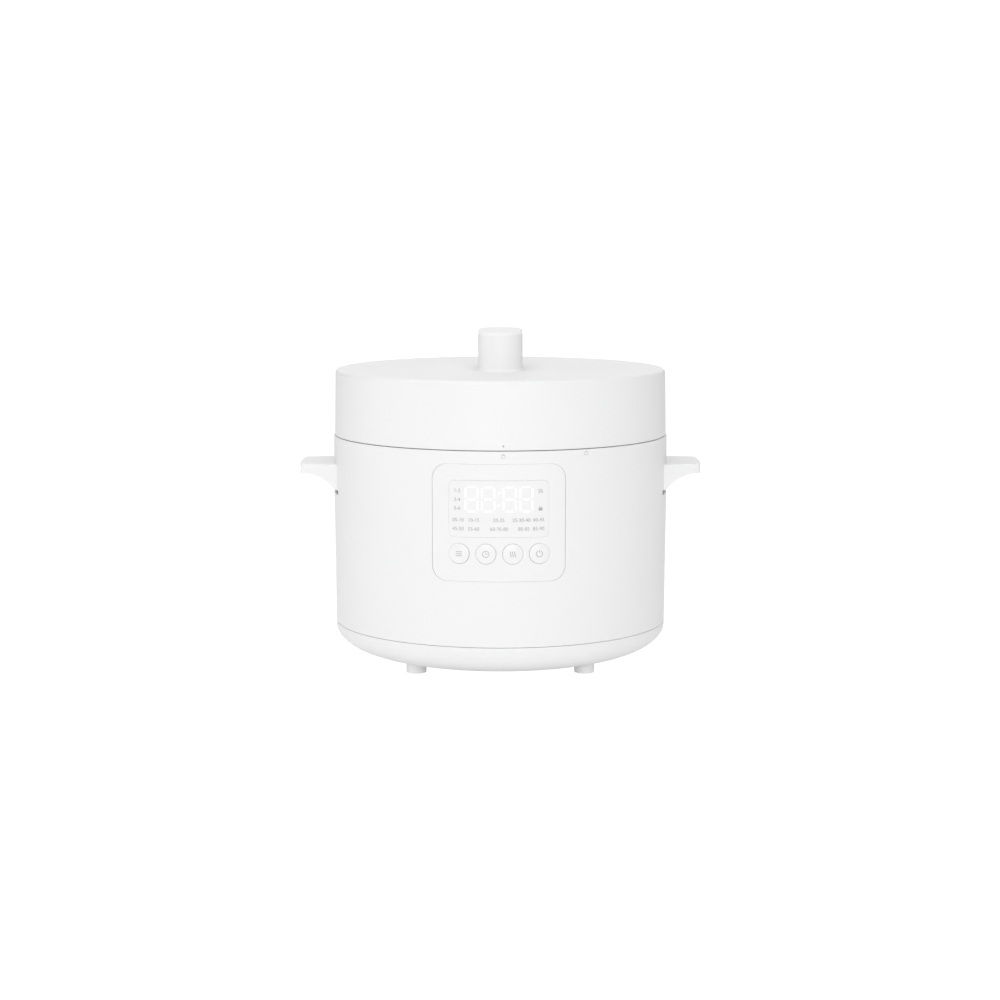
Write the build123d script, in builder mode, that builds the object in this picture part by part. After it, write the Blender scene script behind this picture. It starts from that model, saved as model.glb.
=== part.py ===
from build123d import *
from math import cos, radians, sin, sqrt
import os

# Electric pressure cooker: a round body on four feet, a twist-lock lid and a lift-out inner pot.
# Millimetres. +Z is up and the origin is on the floor under the middle of the body. The control
# panel faces -Y, the mains inlet faces +Y, and the two side handles lie along X.

# ---------------------------------------------------------------- driving dimensions
BODY_R = 138.6  # outside of the body above the taper
BODY_FOOT_R = 137.6  # outside of the body where it meets the base
TAPER_TOP_Z = 137.0  # the wall is straight above this height
BASE_Z = 6.0  # flat underside of the base
BASE_SEAM_Z = 33.3  # thin line between base and body
BODY_TOP_Z = 188.8
LID_LOW_Z = 189.3  # 0.5 mm gap between body and lid
LID_TOP_Z = 243.5
LID_LOW_R = 137.8
LID_TOP_R = 136.9
WALL = 2.5  # moulded plastic walls
POT_WELL_R = 118.0  # inside of the steel well that holds the pot
SHEET = 1.2  # steel sheet
POT_R = 112.0  # outside of the inner pot
POT_LOW_Z = 44.3
POT_RIM_Z = 198.0
LUGS = 6  # bayonet lugs on the well and on the lid
LUG_DEG = 26.0
FOOT_SPAN = 137.0  # between foot centres, both ways
PANEL_X = -1.2
PANEL_Z = 132.4
BUTTON_XS = (-32.4, -11.4, 9.7, 30.6)
BUTTON_Z = 108.1
VALVE_Y = 68.0
FLOAT_Y = 92.0
FIT = 0.05  # running or screw clearance on radius

os.makedirs("parts", exist_ok=True)


def keep(piece, name):
    """Label a finished piece and write it."""
    piece.label = name
    export_step(piece, f"parts/{name}.step")


def body_radius(z):
    """Outside radius of the tapered body wall at a height."""
    share = min(1.0, (z - BASE_SEAM_Z) / (TAPER_TOP_Z - BASE_SEAM_Z))
    return BODY_FOOT_R + share * (BODY_R - BODY_FOOT_R)


def wall_band(low, high, outer_inset, inner_inset):
    """A closed band of the body's wall between two heights, set in from the outer face."""
    heights = [low, TAPER_TOP_Z, high] if low < TAPER_TOP_Z < high else [low, high]
    outer = [(body_radius(z) - outer_inset, z) for z in heights]
    inner = [(body_radius(z) - inner_inset, z) for z in reversed(heights)]
    with BuildPart() as band:
        with BuildSketch(Plane.XZ):
            with BuildLine():
                Polyline(*outer, *inner, close=True)
            make_face()
        revolve(axis=Axis.Z)
    return band.part


def turned(points, x=0.0, y=0.0):
    """A piece turned about the vertical line through x, y from a closed (radius, height) outline."""
    with BuildPart() as piece:
        with BuildSketch(Plane(origin=(x, y, 0), x_dir=(1, 0, 0), z_dir=(0, -1, 0))):
            with BuildLine():
                Polyline(*points, close=True)
            make_face()
        revolve(axis=Axis((x, y, 0), (0, 0, 1)))
    return piece.part


def lug_ring(inner_r, outer_r, low, height):
    """Bayonet lugs: equal arcs of a flat ring, the first centred on +X."""
    with BuildSketch() as lug:
        with BuildLine():
            inside = CenterArc((0, 0), inner_r, -LUG_DEG / 2, LUG_DEG)
            outside = CenterArc((0, 0), outer_r, -LUG_DEG / 2, LUG_DEG)
            Line(inside @ 0, outside @ 0)
            Line(inside @ 1, outside @ 1)
        make_face()
    with BuildPart() as ring:
        with BuildSketch(Plane.XY.offset(low)):
            with PolarLocations(0, LUGS):
                add(lug.sketch)
        extrude(amount=height)
    return ring.part


def screw(x, y, seat_z, head_r, head_h, shank_r, shank_len, up=True):
    """A pan-head screw whose head sits against seat_z, with a cross slot in the head."""
    side = 1 if up else -1
    slot = 0.45 * head_h
    head_end = seat_z - side * head_h
    profile = [
        (0, head_end),
        (0.75 * head_r, head_end),
        (head_r, head_end + side * 0.5 * head_h),
        (head_r, seat_z),
        (shank_r, seat_z),
        (shank_r, seat_z + side * (shank_len - shank_r / 2)),
        (shank_r / 2, seat_z + side * shank_len),
        (0, seat_z + side * shank_len),
    ]
    blank = turned(profile, x, y)
    with BuildPart() as piece:
        add(blank)
        with BuildSketch(Plane.XY.offset(head_end)):
            with Locations((x, y)):
                Rectangle(1.1 * head_r, 0.3 * head_r)
                Rectangle(0.3 * head_r, 1.1 * head_r)
        extrude(amount=side * slot, mode=Mode.SUBTRACT)
    return piece.part


def group(parts):
    """Several like pieces kept together as separate solids."""
    return Compound(children=list(parts))


def around(radius, angles):
    """Points on a circle about the middle, by angle in degrees."""
    return [(radius * cos(radians(a)), radius * sin(radians(a))) for a in angles]


# ---------------------------------------------------------------- body shell
SHELL_LOW_Z = BASE_SEAM_Z + 0.2
PANEL_W = 104.4
PANEL_H = 92.6
PANEL_CORNER = 11.8
PANEL_GAP = 0.15
FRONT_Y = 118.0  # cutters for the front start here and run outwards
FRONT_DEPTH = 25.0
INLET_Z = 55.0
INLET_W = 44.0
INLET_H = 28.0
INLET_GAP = 0.2
HANDLE_SCREW_Y = 18.0
HANDLE_SCREW_Z = 160.0
SIDE_SLOT_W = 76.0  # cooling slot under each side handle
SIDE_SLOT_H = 3.6
SIDE_SLOT_Z = 143.3

shell_band = wall_band(SHELL_LOW_Z, BODY_TOP_Z, 0, WALL)

with BuildPart() as body_shell:
    add(shell_band)
    with BuildSketch(Plane.XZ.offset(FRONT_Y)):
        with Locations((PANEL_X, PANEL_Z)):
            RectangleRounded(PANEL_W + 2 * PANEL_GAP, PANEL_H + 2 * PANEL_GAP, PANEL_CORNER + PANEL_GAP)
    extrude(amount=FRONT_DEPTH, mode=Mode.SUBTRACT)
    with BuildSketch(Plane.XZ.offset(-FRONT_Y)):
        with Locations((0, INLET_Z)):
            RectangleRounded(INLET_W + 2 * INLET_GAP, INLET_H + 2 * INLET_GAP, 4 + INLET_GAP)
    extrude(amount=-FRONT_DEPTH, mode=Mode.SUBTRACT)
    with BuildSketch(Plane.YZ.offset(-BODY_R - WALL)):
        with Locations((-HANDLE_SCREW_Y, HANDLE_SCREW_Z), (HANDLE_SCREW_Y, HANDLE_SCREW_Z)):
            Circle(1.7)
        with Locations((0, SIDE_SLOT_Z)):
            SlotOverall(SIDE_SLOT_W, SIDE_SLOT_H)
    extrude(amount=2 * (BODY_R + WALL), mode=Mode.SUBTRACT)
    rim = body_shell.edges().filter_by(GeomType.CIRCLE).group_by(Axis.Z)[-1]
    fillet(rim.sort_by(SortBy.RADIUS)[-1], radius=0.6)
keep(body_shell.part, "body_shell")

# ---------------------------------------------------------------- top collar
# Plastic ring that closes the gap between the body shell and the well, with a drip gutter.
COLLAR_TOP_Z = 188.0
collar = turned(
    [
        (POT_WELL_R + SHEET + 0.3, COLLAR_TOP_Z),
        (POT_WELL_R + SHEET + 0.3, 184.6),
        (BODY_R - WALL - 2.6, 184.6),
        (BODY_R - WALL - 2.6, 183.4),
        (BODY_R - WALL - 0.1, 183.4),
        (BODY_R - WALL - 0.1, COLLAR_TOP_Z),
        (131.5, COLLAR_TOP_Z),
        (130.5, 186.2),
        (125.5, 186.2),
        (124.5, COLLAR_TOP_Z),
    ]
)
keep(collar, "top_collar")

# ---------------------------------------------------------------- base cover
# Bowl-shaped moulding: a flat underside and a quarter-ellipse side up to the seam.
BOWL_START_R = 84.6
BOWL_TOP_Z = 30.5
LIP_R = BODY_FOOT_R - WALL - 0.2
FOOT_BOSS_TOP_Z = 12.5
FOOT_SEAT_Z = 9.0
FOOT_R = 8.2
FOOT_STEM_R = 3.0
POST_R = 105.0
POST_ANGLES = (20, 160, 200, 340)
POST_SEAT_Z = 20.0
WELL_LOW_Z = 26.0
BOARD_HOLES = [(x, y) for x in (-40, 40) for y in (40, 90)]
BOARD_Z = 12.0

with BuildPart() as base_cover:
    with BuildSketch(Plane.XZ):
        with BuildLine():
            bowl = (BOWL_START_R, BOWL_TOP_Z)
            Line((0, BASE_Z), (BOWL_START_R, BASE_Z))
            EllipticalCenterArc(
                bowl, BODY_FOOT_R - BOWL_START_R, BOWL_TOP_Z - BASE_Z, start_angle=270, arc_size=90
            )
            Polyline(
                (BODY_FOOT_R, BOWL_TOP_Z),
                (BODY_FOOT_R, BASE_SEAM_Z - 0.2),
                (LIP_R, BASE_SEAM_Z - 0.2),
                (LIP_R, 37.5),
                (LIP_R - 2.2, 37.5),
                (LIP_R - 2.2, BOWL_TOP_Z),
            )
            EllipticalCenterArc(
                bowl,
                LIP_R - 2.2 - BOWL_START_R,
                BOWL_TOP_Z - BASE_Z - WALL,
                start_angle=270,
                arc_size=90,
            )
            Polyline((BOWL_START_R, BASE_Z + WALL), (0, BASE_Z + WALL), (0, BASE_Z))
        make_face()
    revolve(axis=Axis.Z)
    # bosses for the feet, each with a seat from below and a hole for the foot's stem
    with BuildSketch(Plane.XY.offset(BASE_Z + WALL - 0.1)):
        with GridLocations(FOOT_SPAN, FOOT_SPAN, 2, 2):
            Circle(10.5)
    extrude(amount=FOOT_BOSS_TOP_Z - BASE_Z - WALL + 0.1)
    with BuildSketch(Plane.XY):
        with GridLocations(FOOT_SPAN, FOOT_SPAN, 2, 2):
            Circle(FOOT_R + 0.1)
    extrude(amount=FOOT_SEAT_Z, mode=Mode.SUBTRACT)
    with BuildSketch(Plane.XY):
        with GridLocations(FOOT_SPAN, FOOT_SPAN, 2, 2):
            Circle(FOOT_STEM_R + FIT)
    extrude(amount=FOOT_BOSS_TOP_Z + 1, mode=Mode.SUBTRACT)
    # hollow posts that the well is screwed to
    with BuildSketch(Plane.XY.offset(BASE_Z + WALL + 0.8)):
        with Locations(*around(POST_R, POST_ANGLES)):
            Circle(5.2)
    extrude(amount=WELL_LOW_Z - BASE_Z - WALL - 0.8)
    with BuildSketch(Plane.XY):
        with Locations(*around(POST_R, POST_ANGLES)):
            Circle(3.7)
    extrude(amount=POST_SEAT_Z, mode=Mode.SUBTRACT)
    with BuildSketch(Plane.XY):
        with Locations(*around(POST_R, POST_ANGLES)):
            Circle(1.9 + FIT)
    extrude(amount=WELL_LOW_Z + 1, mode=Mode.SUBTRACT)
    # standoffs for the power board
    with BuildSketch(Plane.XY.offset(BASE_Z + WALL - 0.5)):
        with Locations(*BOARD_HOLES):
            Circle(3.5)
    extrude(amount=BOARD_Z - BASE_Z - WALL + 0.5)
    with BuildSketch(Plane.XY.offset(BOARD_Z)):
        with Locations(*BOARD_HOLES):
            Circle(1.2 + FIT)
    extrude(amount=-4.2, mode=Mode.SUBTRACT)
    # ring of cooling slots in the flat underside
    with BuildSketch(Plane.XY):
        with PolarLocations(24, 12):
            SlotOverall(14, 3)
        with PolarLocations(66, 24, start_angle=7.5):
            SlotOverall(12, 3)
    extrude(amount=BASE_Z + WALL + 0.1, mode=Mode.SUBTRACT)
keep(base_cover.part, "base_cover")

# ---------------------------------------------------------------- feet
# Rubber pucks whose stems snap through the base.
FOOT_NAMES = ("foot_front_left", "foot_rear_left", "foot_front_right", "foot_rear_right")
half = FOOT_SPAN / 2
for foot_name, (foot_x, foot_y) in zip(
    FOOT_NAMES, ((-half, -half), (-half, half), (half, -half), (half, half))
):
    blank = turned(
        [
            (0, 0),
            (FOOT_R, 0),
            (FOOT_R, FOOT_SEAT_Z),
            (FOOT_STEM_R, FOOT_SEAT_Z),
            (FOOT_STEM_R, FOOT_BOSS_TOP_Z),
            (4.2, FOOT_BOSS_TOP_Z),
            (2.4, FOOT_BOSS_TOP_Z + 3),
            (0, FOOT_BOSS_TOP_Z + 3),
        ],
        foot_x,
        foot_y,
    )
    with BuildPart() as foot:
        add(blank)
        fillet(foot.edges().filter_by(GeomType.CIRCLE).group_by(Axis.Z)[0], radius=0.8)
    keep(foot.part, foot_name)

# ---------------------------------------------------------------- side handles
# Hollow mouldings with a flat top and a scooped underside, screwed on from inside the shell.
HANDLE_TOP_Z = 166.4
HANDLE_TIP_X = 166.5
HANDLE_CORNER_X = 164.8  # where the straight side meets the tip
HANDLE_CORNER_Y = 26.2
TIP_THICK = 8.0
SCOOP_R = 33.5
SCOOP_X = 163.0
ROOT_LOW_Z = 145.3  # flat underside of the root
SCOOP_Z = HANDLE_TOP_Z - TIP_THICK - SCOOP_R
HANDLE_ROOT_X = 131.0
HANDLE_ROOT_Y = 34.8


def scoop(x, radius):
    """Height of an arc about the scoop's centre."""
    return SCOOP_Z + sqrt(radius**2 - (SCOOP_X - x) ** 2)


ROOT_END_X = SCOOP_X - sqrt(SCOOP_R**2 - (ROOT_LOW_Z - SCOOP_Z) ** 2)


with BuildPart() as side_handle_right:
    with BuildSketch(Plane.XY.offset(HANDLE_TOP_Z)) as handle_plan:
        with BuildLine():
            Polyline(
                (HANDLE_CORNER_X, HANDLE_CORNER_Y),
                (HANDLE_ROOT_X, HANDLE_ROOT_Y),
                (HANDLE_ROOT_X, -HANDLE_ROOT_Y),
                (HANDLE_CORNER_X, -HANDLE_CORNER_Y),
            )
            ThreePointArc(
                (HANDLE_CORNER_X, -HANDLE_CORNER_Y),
                (HANDLE_TIP_X, 0),
                (HANDLE_CORNER_X, HANDLE_CORNER_Y),
            )
        make_face()
        fillet(handle_plan.vertices().group_by(Axis.X)[-1], radius=3.5)
    extrude(amount=-24)
    # scooped underside
    with BuildSketch(Plane.XZ.offset(-60)):
        with BuildLine():
            tip_low = HANDLE_TOP_Z - TIP_THICK
            Polyline(
                (ROOT_END_X, ROOT_LOW_Z),
                (HANDLE_ROOT_X, ROOT_LOW_Z),
                (HANDLE_ROOT_X, HANDLE_TOP_Z),
                (HANDLE_TIP_X + 1, HANDLE_TOP_Z),
                (HANDLE_TIP_X + 1, tip_low),
                (SCOOP_X, tip_low),
            )
            ThreePointArc(
                (SCOOP_X, tip_low),
                (145, scoop(145, SCOOP_R)),
                (ROOT_END_X, ROOT_LOW_Z),
            )
        make_face()
    extrude(amount=120, mode=Mode.INTERSECT)
    outline = side_handle_right.faces().sort_by(Axis.Z)[-1].edges().sort_by(Axis.X)[1:]
    fillet(outline, radius=1.4)
    # the root follows the shell
    Cylinder(radius=BODY_R, height=400, mode=Mode.SUBTRACT)
    # hollow behind the scoop, open at the root
    with BuildSketch(Plane.XZ.offset(-24)):
        with BuildLine():
            Polyline(
                (HANDLE_ROOT_X, scoop(HANDLE_ROOT_X, SCOOP_R + WALL)),
                (HANDLE_ROOT_X, HANDLE_TOP_Z - WALL),
                (150, HANDLE_TOP_Z - WALL),
                (150, scoop(150, SCOOP_R + WALL)),
            )
            ThreePointArc(
                (150, scoop(150, SCOOP_R + WALL)),
                (141, scoop(141, SCOOP_R + WALL)),
                (HANDLE_ROOT_X, scoop(HANDLE_ROOT_X, SCOOP_R + WALL)),
            )
        make_face()
    extrude(amount=48, mode=Mode.SUBTRACT)
    # screw bosses in the hollow
    with BuildSketch(Plane.YZ.offset(BODY_R - 1.4)):
        with Locations((-HANDLE_SCREW_Y, HANDLE_SCREW_Z), (HANDLE_SCREW_Y, HANDLE_SCREW_Z)):
            Circle(3.2)
    extrude(amount=8)
    Cylinder(radius=BODY_R, height=400, mode=Mode.SUBTRACT)
    with BuildSketch(Plane.YZ.offset(HANDLE_ROOT_X)):
        with Locations((-HANDLE_SCREW_Y, HANDLE_SCREW_Z), (HANDLE_SCREW_Y, HANDLE_SCREW_Z)):
            Circle(1.5)
    extrude(amount=13, mode=Mode.SUBTRACT)
keep(side_handle_right.part, "side_handle_right")

with BuildPart() as side_handle_left:
    add(side_handle_right.part)
    mirror(about=Plane.YZ, mode=Mode.REPLACE)
keep(side_handle_left.part, "side_handle_left")

# Four screws through the shell wall into the handles, two a side.
with BuildPart() as handle_screw:
    with BuildSketch(Plane.YZ.offset(BODY_R - WALL - 4.3)):
        Circle(2.8)
    extrude(amount=2.4)
    with BuildSketch(Plane.YZ.offset(BODY_R - WALL - 1.9)):
        Circle(1.45)
    extrude(amount=9.6)
    chamfer(handle_screw.edges().group_by(Axis.X)[0], length=0.6)
handle_screws = []
for side in (0, 180):
    for screw_y in (-HANDLE_SCREW_Y, HANDLE_SCREW_Y):
        turned_screw = handle_screw.part.rotate(Axis.Z, side)
        handle_screws.append(turned_screw.translate((0, screw_y, HANDLE_SCREW_Z)))
keep(group(handle_screws), "side_handle_screws")

# ---------------------------------------------------------------- well
# Steel well that holds the pot: lugs at the top for the lid, a seat ring that rests on the collar.
WELL_R = POT_WELL_R + SHEET
WELL_TOP_Z = 197.5
LUG_LOW_Z = 194.5
LUG_R = 127.5
PLATE_HOLES_R = 80.0
PLATE_HOLE_ANGLES = (30, 150, 270)
TERMINAL_R = 65.0
TERMINAL_ANGLES = (255, 285)

well_wall = turned(
    [
        (0, WELL_LOW_Z),
        (WELL_R - 5, WELL_LOW_Z),
        (WELL_R, WELL_LOW_Z + 5),
        (WELL_R, COLLAR_TOP_Z),
        (WELL_R + 4.3, COLLAR_TOP_Z),
        (WELL_R + 4.3, COLLAR_TOP_Z + SHEET),
        (WELL_R, COLLAR_TOP_Z + SHEET),
        (WELL_R, WELL_TOP_Z),
        (POT_WELL_R, WELL_TOP_Z),
        (POT_WELL_R, WELL_LOW_Z + SHEET + 4.5),
        (WELL_R - 5.6, WELL_LOW_Z + SHEET),
        (0, WELL_LOW_Z + SHEET),
    ]
)
well_lugs = lug_ring(POT_WELL_R + SHEET / 2, LUG_R, LUG_LOW_Z, WELL_TOP_Z - LUG_LOW_Z)

with BuildPart() as well:
    add(well_wall)
    add(well_lugs)
    top_edges = well.edges().group_by(Axis.Z)[-1].filter_by(GeomType.CIRCLE)
    fillet(top_edges.sort_by(SortBy.RADIUS)[0], radius=0.3)
    with BuildSketch(Plane.XY.offset(WELL_LOW_Z)):
        Circle(6)
        with Locations(*around(POST_R, POST_ANGLES)):
            Circle(1.9 + FIT)
        with Locations(*around(PLATE_HOLES_R, PLATE_HOLE_ANGLES)):
            Circle(2.0 + FIT)
        with Locations(*around(TERMINAL_R, TERMINAL_ANGLES)):
            Circle(5 + FIT)
    extrude(amount=SHEET, mode=Mode.SUBTRACT)
keep(well.part, "well")

# Four screws up through the posts of the base into the well.
keep(
    group(screw(x, y, POST_SEAT_Z, 3.4, 2.6, 1.9, 10.5) for x, y in around(POST_R, POST_ANGLES)),
    "base_screws",
)

# ---------------------------------------------------------------- heating plate
# Cast aluminium plate on three posts, with the heating element cast into its underside.
PLATE_R = 95.0
PLATE_LOW_Z = 34.0
PLATE_TOP_Z = 44.0
ELEMENT_R = 65.0
ELEMENT_Z = 35.5
ELEMENT_TUBE_R = 3.6
SENSOR_HOLE_R = 21.0

plate_blank = turned(
    [
        (SENSOR_HOLE_R, PLATE_LOW_Z + 3),
        (SENSOR_HOLE_R + 6, PLATE_LOW_Z),
        (PLATE_R - 4, PLATE_LOW_Z),
        (PLATE_R, PLATE_LOW_Z + 4),
        (PLATE_R, PLATE_TOP_Z - 1.5),
        (PLATE_R - 1.5, PLATE_TOP_Z),
        (SENSOR_HOLE_R, PLATE_TOP_Z),
    ]
)
with BuildPart() as heating_plate:
    add(plate_blank)
    with BuildSketch(Plane.XZ):
        with Locations((ELEMENT_R, ELEMENT_Z)):
            Circle(ELEMENT_TUBE_R + 0.2)
    revolve(axis=Axis.Z, mode=Mode.SUBTRACT)
    with BuildSketch(Plane.XY.offset(PLATE_LOW_Z)):
        with Locations(*around(PLATE_HOLES_R, PLATE_HOLE_ANGLES)):
            Circle(2.0 + FIT)
    extrude(amount=7, mode=Mode.SUBTRACT)
    # shallow rings turned in the top face
    with BuildSketch(Plane.XY.offset(PLATE_TOP_Z)):
        for ring_r in (40, 55, 70, 85):
            Circle(ring_r + 0.6)
            Circle(ring_r - 0.6, mode=Mode.SUBTRACT)
    extrude(amount=-0.4, mode=Mode.SUBTRACT)
keep(heating_plate.part, "heating_plate")

with BuildPart() as heating_element:
    with BuildLine():
        path = CenterArc((0, 0, ELEMENT_Z), ELEMENT_R, TERMINAL_ANGLES[1], 330)
    with BuildSketch(Plane(origin=path @ 0, z_dir=path % 0)):
        Circle(ELEMENT_TUBE_R)
    sweep()
    with Locations(*[(x, y, ELEMENT_Z) for x, y in around(TERMINAL_R, TERMINAL_ANGLES)]):
        Sphere(radius=ELEMENT_TUBE_R)
    with BuildSketch(Plane.XY.offset(ELEMENT_Z)):
        with Locations(*around(TERMINAL_R, TERMINAL_ANGLES)):
            Circle(2.5)
    extrude(amount=16 - ELEMENT_Z)
keep(heating_element.part, "heating_element")

# Ceramic bushes carry the element's two terminals through the well.
keep(
    group(
        turned([(2.55, 22), (5, 22), (5, 27.2), (6.8, 27.2), (6.8, 29.4), (2.55, 29.4)], x, y)
        for x, y in around(TERMINAL_R, TERMINAL_ANGLES)
    ),
    "terminal_bushes",
)

WELL_FLOOR_Z = WELL_LOW_Z + SHEET
keep(
    group(
        turned(
            [(2.0 + FIT, WELL_FLOOR_Z), (5, WELL_FLOOR_Z), (5, PLATE_LOW_Z), (2.0 + FIT, PLATE_LOW_Z)],
            x,
            y,
        )
        for x, y in around(PLATE_HOLES_R, PLATE_HOLE_ANGLES)
    ),
    "plate_posts",
)
keep(
    group(
        screw(x, y, WELL_LOW_Z, 3.4, 2.6, 2.0, 14)
        for x, y in around(PLATE_HOLES_R, PLATE_HOLE_ANGLES)
    ),
    "plate_screws",
)

# ---------------------------------------------------------------- temperature sensor
# A sprung cap that presses on the pot's underside, in a cup fixed to the floor of the well.
PROBE_TOP_Z = 44.0
sensor_cup = turned(
    [
        (3, WELL_FLOOR_Z),
        (20, WELL_FLOOR_Z),
        (20, 40.5),
        (17.5, 40.5),
        (17.5, WELL_FLOOR_Z + SHEET),
        (3, WELL_FLOOR_Z + SHEET),
    ]
)
keep(sensor_cup, "sensor_cup")
probe = turned(
    [
        (0, PROBE_TOP_Z),
        (16.2, PROBE_TOP_Z),
        (17.2, PROBE_TOP_Z - 1),
        (17.2, 35),
        (15.4, 35),
        (15.4, PROBE_TOP_Z - 1.8),
        (0, PROBE_TOP_Z - 1.8),
    ]
)
keep(probe, "sensor_probe")
SPRING_R = 10.0
SPRING_WIRE_R = 0.8
with BuildPart() as sensor_spring:
    with BuildLine(Plane.XY.offset(WELL_FLOOR_Z + SHEET + SPRING_WIRE_R)):
        coil = Helix(pitch=3.05, height=12.2, radius=SPRING_R)
    with BuildSketch(Plane(origin=coil @ 0, z_dir=coil % 0)):
        Circle(SPRING_WIRE_R)
    sweep(is_frenet=True)
keep(sensor_spring.part, "sensor_spring")

# ---------------------------------------------------------------- safety switches
with BuildPart() as thermal_fuse:
    with BuildSketch(Plane.YZ.offset(-13)):
        with Locations((45, PLATE_LOW_Z - 3)):
            Circle(3)
    extrude(amount=26)
    chamfer(thermal_fuse.edges().filter_by(GeomType.CIRCLE), length=0.8)
    with BuildSketch(Plane.YZ.offset(-20)):
        with Locations((45, PLATE_LOW_Z - 3)):
            Circle(0.8)
    extrude(amount=40)
keep(thermal_fuse.part, "thermal_fuse")

# Micro switch that feels the well's floor flex under pressure.
with BuildPart() as pressure_switch:
    with BuildSketch(Plane.XY.offset(13)):
        with Locations((-62, -45)):
            Rectangle(28, 13)
    extrude(amount=11)
    fillet(pressure_switch.edges().filter_by(Axis.Z), radius=1.5)
    with BuildSketch(Plane.XY.offset(24)):
        with Locations((-56, -45)):
            Circle(2)
    extrude(amount=2)
    with BuildSketch(Plane.XY.offset(13)):
        with Locations((-70, -45), (-62, -45), (-54, -45)):
            Rectangle(0.8, 5)
    extrude(amount=-4)
keep(pressure_switch.part, "pressure_switch")

# ---------------------------------------------------------------- power board
BOARD_TOP_Z = BOARD_Z + 1.6
with BuildPart() as power_board:
    with BuildSketch(Plane.XY.offset(BOARD_Z)):
        with Locations((0, 65)):
            RectangleRounded(92, 62, 3)
        with Locations(*BOARD_HOLES):
            Circle(1.2 + FIT, mode=Mode.SUBTRACT)
    extrude(amount=1.6)
keep(power_board.part, "power_board")
keep(
    group(screw(x, y, BOARD_TOP_Z, 2.6, 1.8, 1.2, 5.2, up=False) for x, y in BOARD_HOLES),
    "board_screws",
)

with BuildPart() as relay:
    with BuildSketch(Plane.XY.offset(BOARD_TOP_Z)):
        with Locations((-26, 74)):
            RectangleRounded(19, 15.5, 1)
    extrude(amount=10.5)
    chamfer(relay.edges().group_by(Axis.Z)[-1], length=0.6)
keep(relay.part, "relay")

with BuildPart() as transformer:
    with BuildSketch(Plane.XY.offset(BOARD_TOP_Z)):
        with Locations((24, 76)):
            RectangleRounded(20, 17, 1)
    extrude(amount=3)
    with BuildSketch(Plane.XY.offset(BOARD_TOP_Z + 3)):
        with Locations((24, 76)):
            RectangleRounded(16, 13, 3)
    extrude(amount=5)
    with BuildSketch(Plane.XY.offset(BOARD_TOP_Z + 8)):
        with Locations((24, 76)):
            RectangleRounded(20, 17, 1)
    extrude(amount=2.6)
keep(transformer.part, "transformer")

CAN_R = 4.6
keep(
    group(
        turned(
            [
                (0, BOARD_TOP_Z),
                (CAN_R, BOARD_TOP_Z),
                (CAN_R, BOARD_TOP_Z + 1.2),
                (CAN_R - 0.4, BOARD_TOP_Z + 1.6),
                (CAN_R, BOARD_TOP_Z + 2.0),
                (CAN_R, BOARD_TOP_Z + 9.4),
                (CAN_R - 0.6, BOARD_TOP_Z + 10),
                (0, BOARD_TOP_Z + 10),
            ],
            x,
            y,
        )
        for x, y in ((-4, 78), (4, 60), (-8, 60))
    ),
    "capacitors",
)

# ---------------------------------------------------------------- mains inlet
# Socket that snaps into the shell at the back, with a flange that follows the shell.
SOCKET_W = 24.0
SOCKET_H = 16.5
SOCKET_BACK_Y = 121.5
SOCKET_FLOOR_Y = 123.6
inlet_flange_band = wall_band(INLET_Z - 16, INLET_Z + 16, 0, 3.4)

with BuildPart() as inlet_socket:
    add(inlet_flange_band)
    with BuildSketch(Plane.XZ.offset(-FRONT_Y)):
        with Locations((0, INLET_Z)):
            RectangleRounded(INLET_W, INLET_H, 4)
    extrude(amount=-FRONT_DEPTH, mode=Mode.INTERSECT)
    with BuildSketch(Plane.XZ.offset(-SOCKET_BACK_Y)):
        with Locations((0, INLET_Z)):
            RectangleRounded(SOCKET_W + 6, SOCKET_H + 6, 2)
    extrude(amount=-14)
    with BuildSketch(Plane.XZ.offset(-SOCKET_FLOOR_Y)):
        with BuildLine():
            half_w = SOCKET_W / 2
            half_h = SOCKET_H / 2
            Polyline(
                (-half_w, INLET_Z - half_h),
                (half_w, INLET_Z - half_h),
                (half_w, INLET_Z + half_h - 5),
                (half_w - 5, INLET_Z + half_h),
                (5 - half_w, INLET_Z + half_h),
                (-half_w, INLET_Z + half_h - 5),
                close=True,
            )
        make_face()
    extrude(amount=-20, mode=Mode.SUBTRACT)
    with BuildSketch(Plane.XZ.offset(-SOCKET_BACK_Y)):
        with Locations((-7, INLET_Z - 2), (0, INLET_Z + 2), (7, INLET_Z - 2)):
            Rectangle(2, 4)
    extrude(amount=-5, mode=Mode.SUBTRACT)
keep(inlet_socket.part, "inlet_socket")

with BuildPart() as inlet_pins:
    with BuildSketch(Plane.XZ.offset(-SOCKET_BACK_Y)):
        with Locations((-7, INLET_Z - 2), (0, INLET_Z + 2), (7, INLET_Z - 2)):
            Rectangle(2, 4)
    extrude(amount=-10)
    chamfer(inlet_pins.faces().group_by(Axis.Y)[-1].edges(), length=0.5)
keep(inlet_pins.part, "inlet_pins")

# ---------------------------------------------------------------- control panel
# Curved panel flush with the shell, with a recessed window and four round key holes.
WINDOW_X = -1.3
WINDOW_Z = 143.6
WINDOW_W = 78.1
WINDOW_H = 44.7
WINDOW_CORNER = 4.0
WINDOW_THICK = 1.6
WINDOW_GAP = 0.1
KEY_R = 8.1
KEY_GAP = 0.35
CARRIER_BACK_Y = 120.2
CARRIER_Y = 121.8
BOARD_FRONT_Y = 123.4
POSTS = [(x, z) for x in (-47, 47) for z in (96, 170)]

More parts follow.
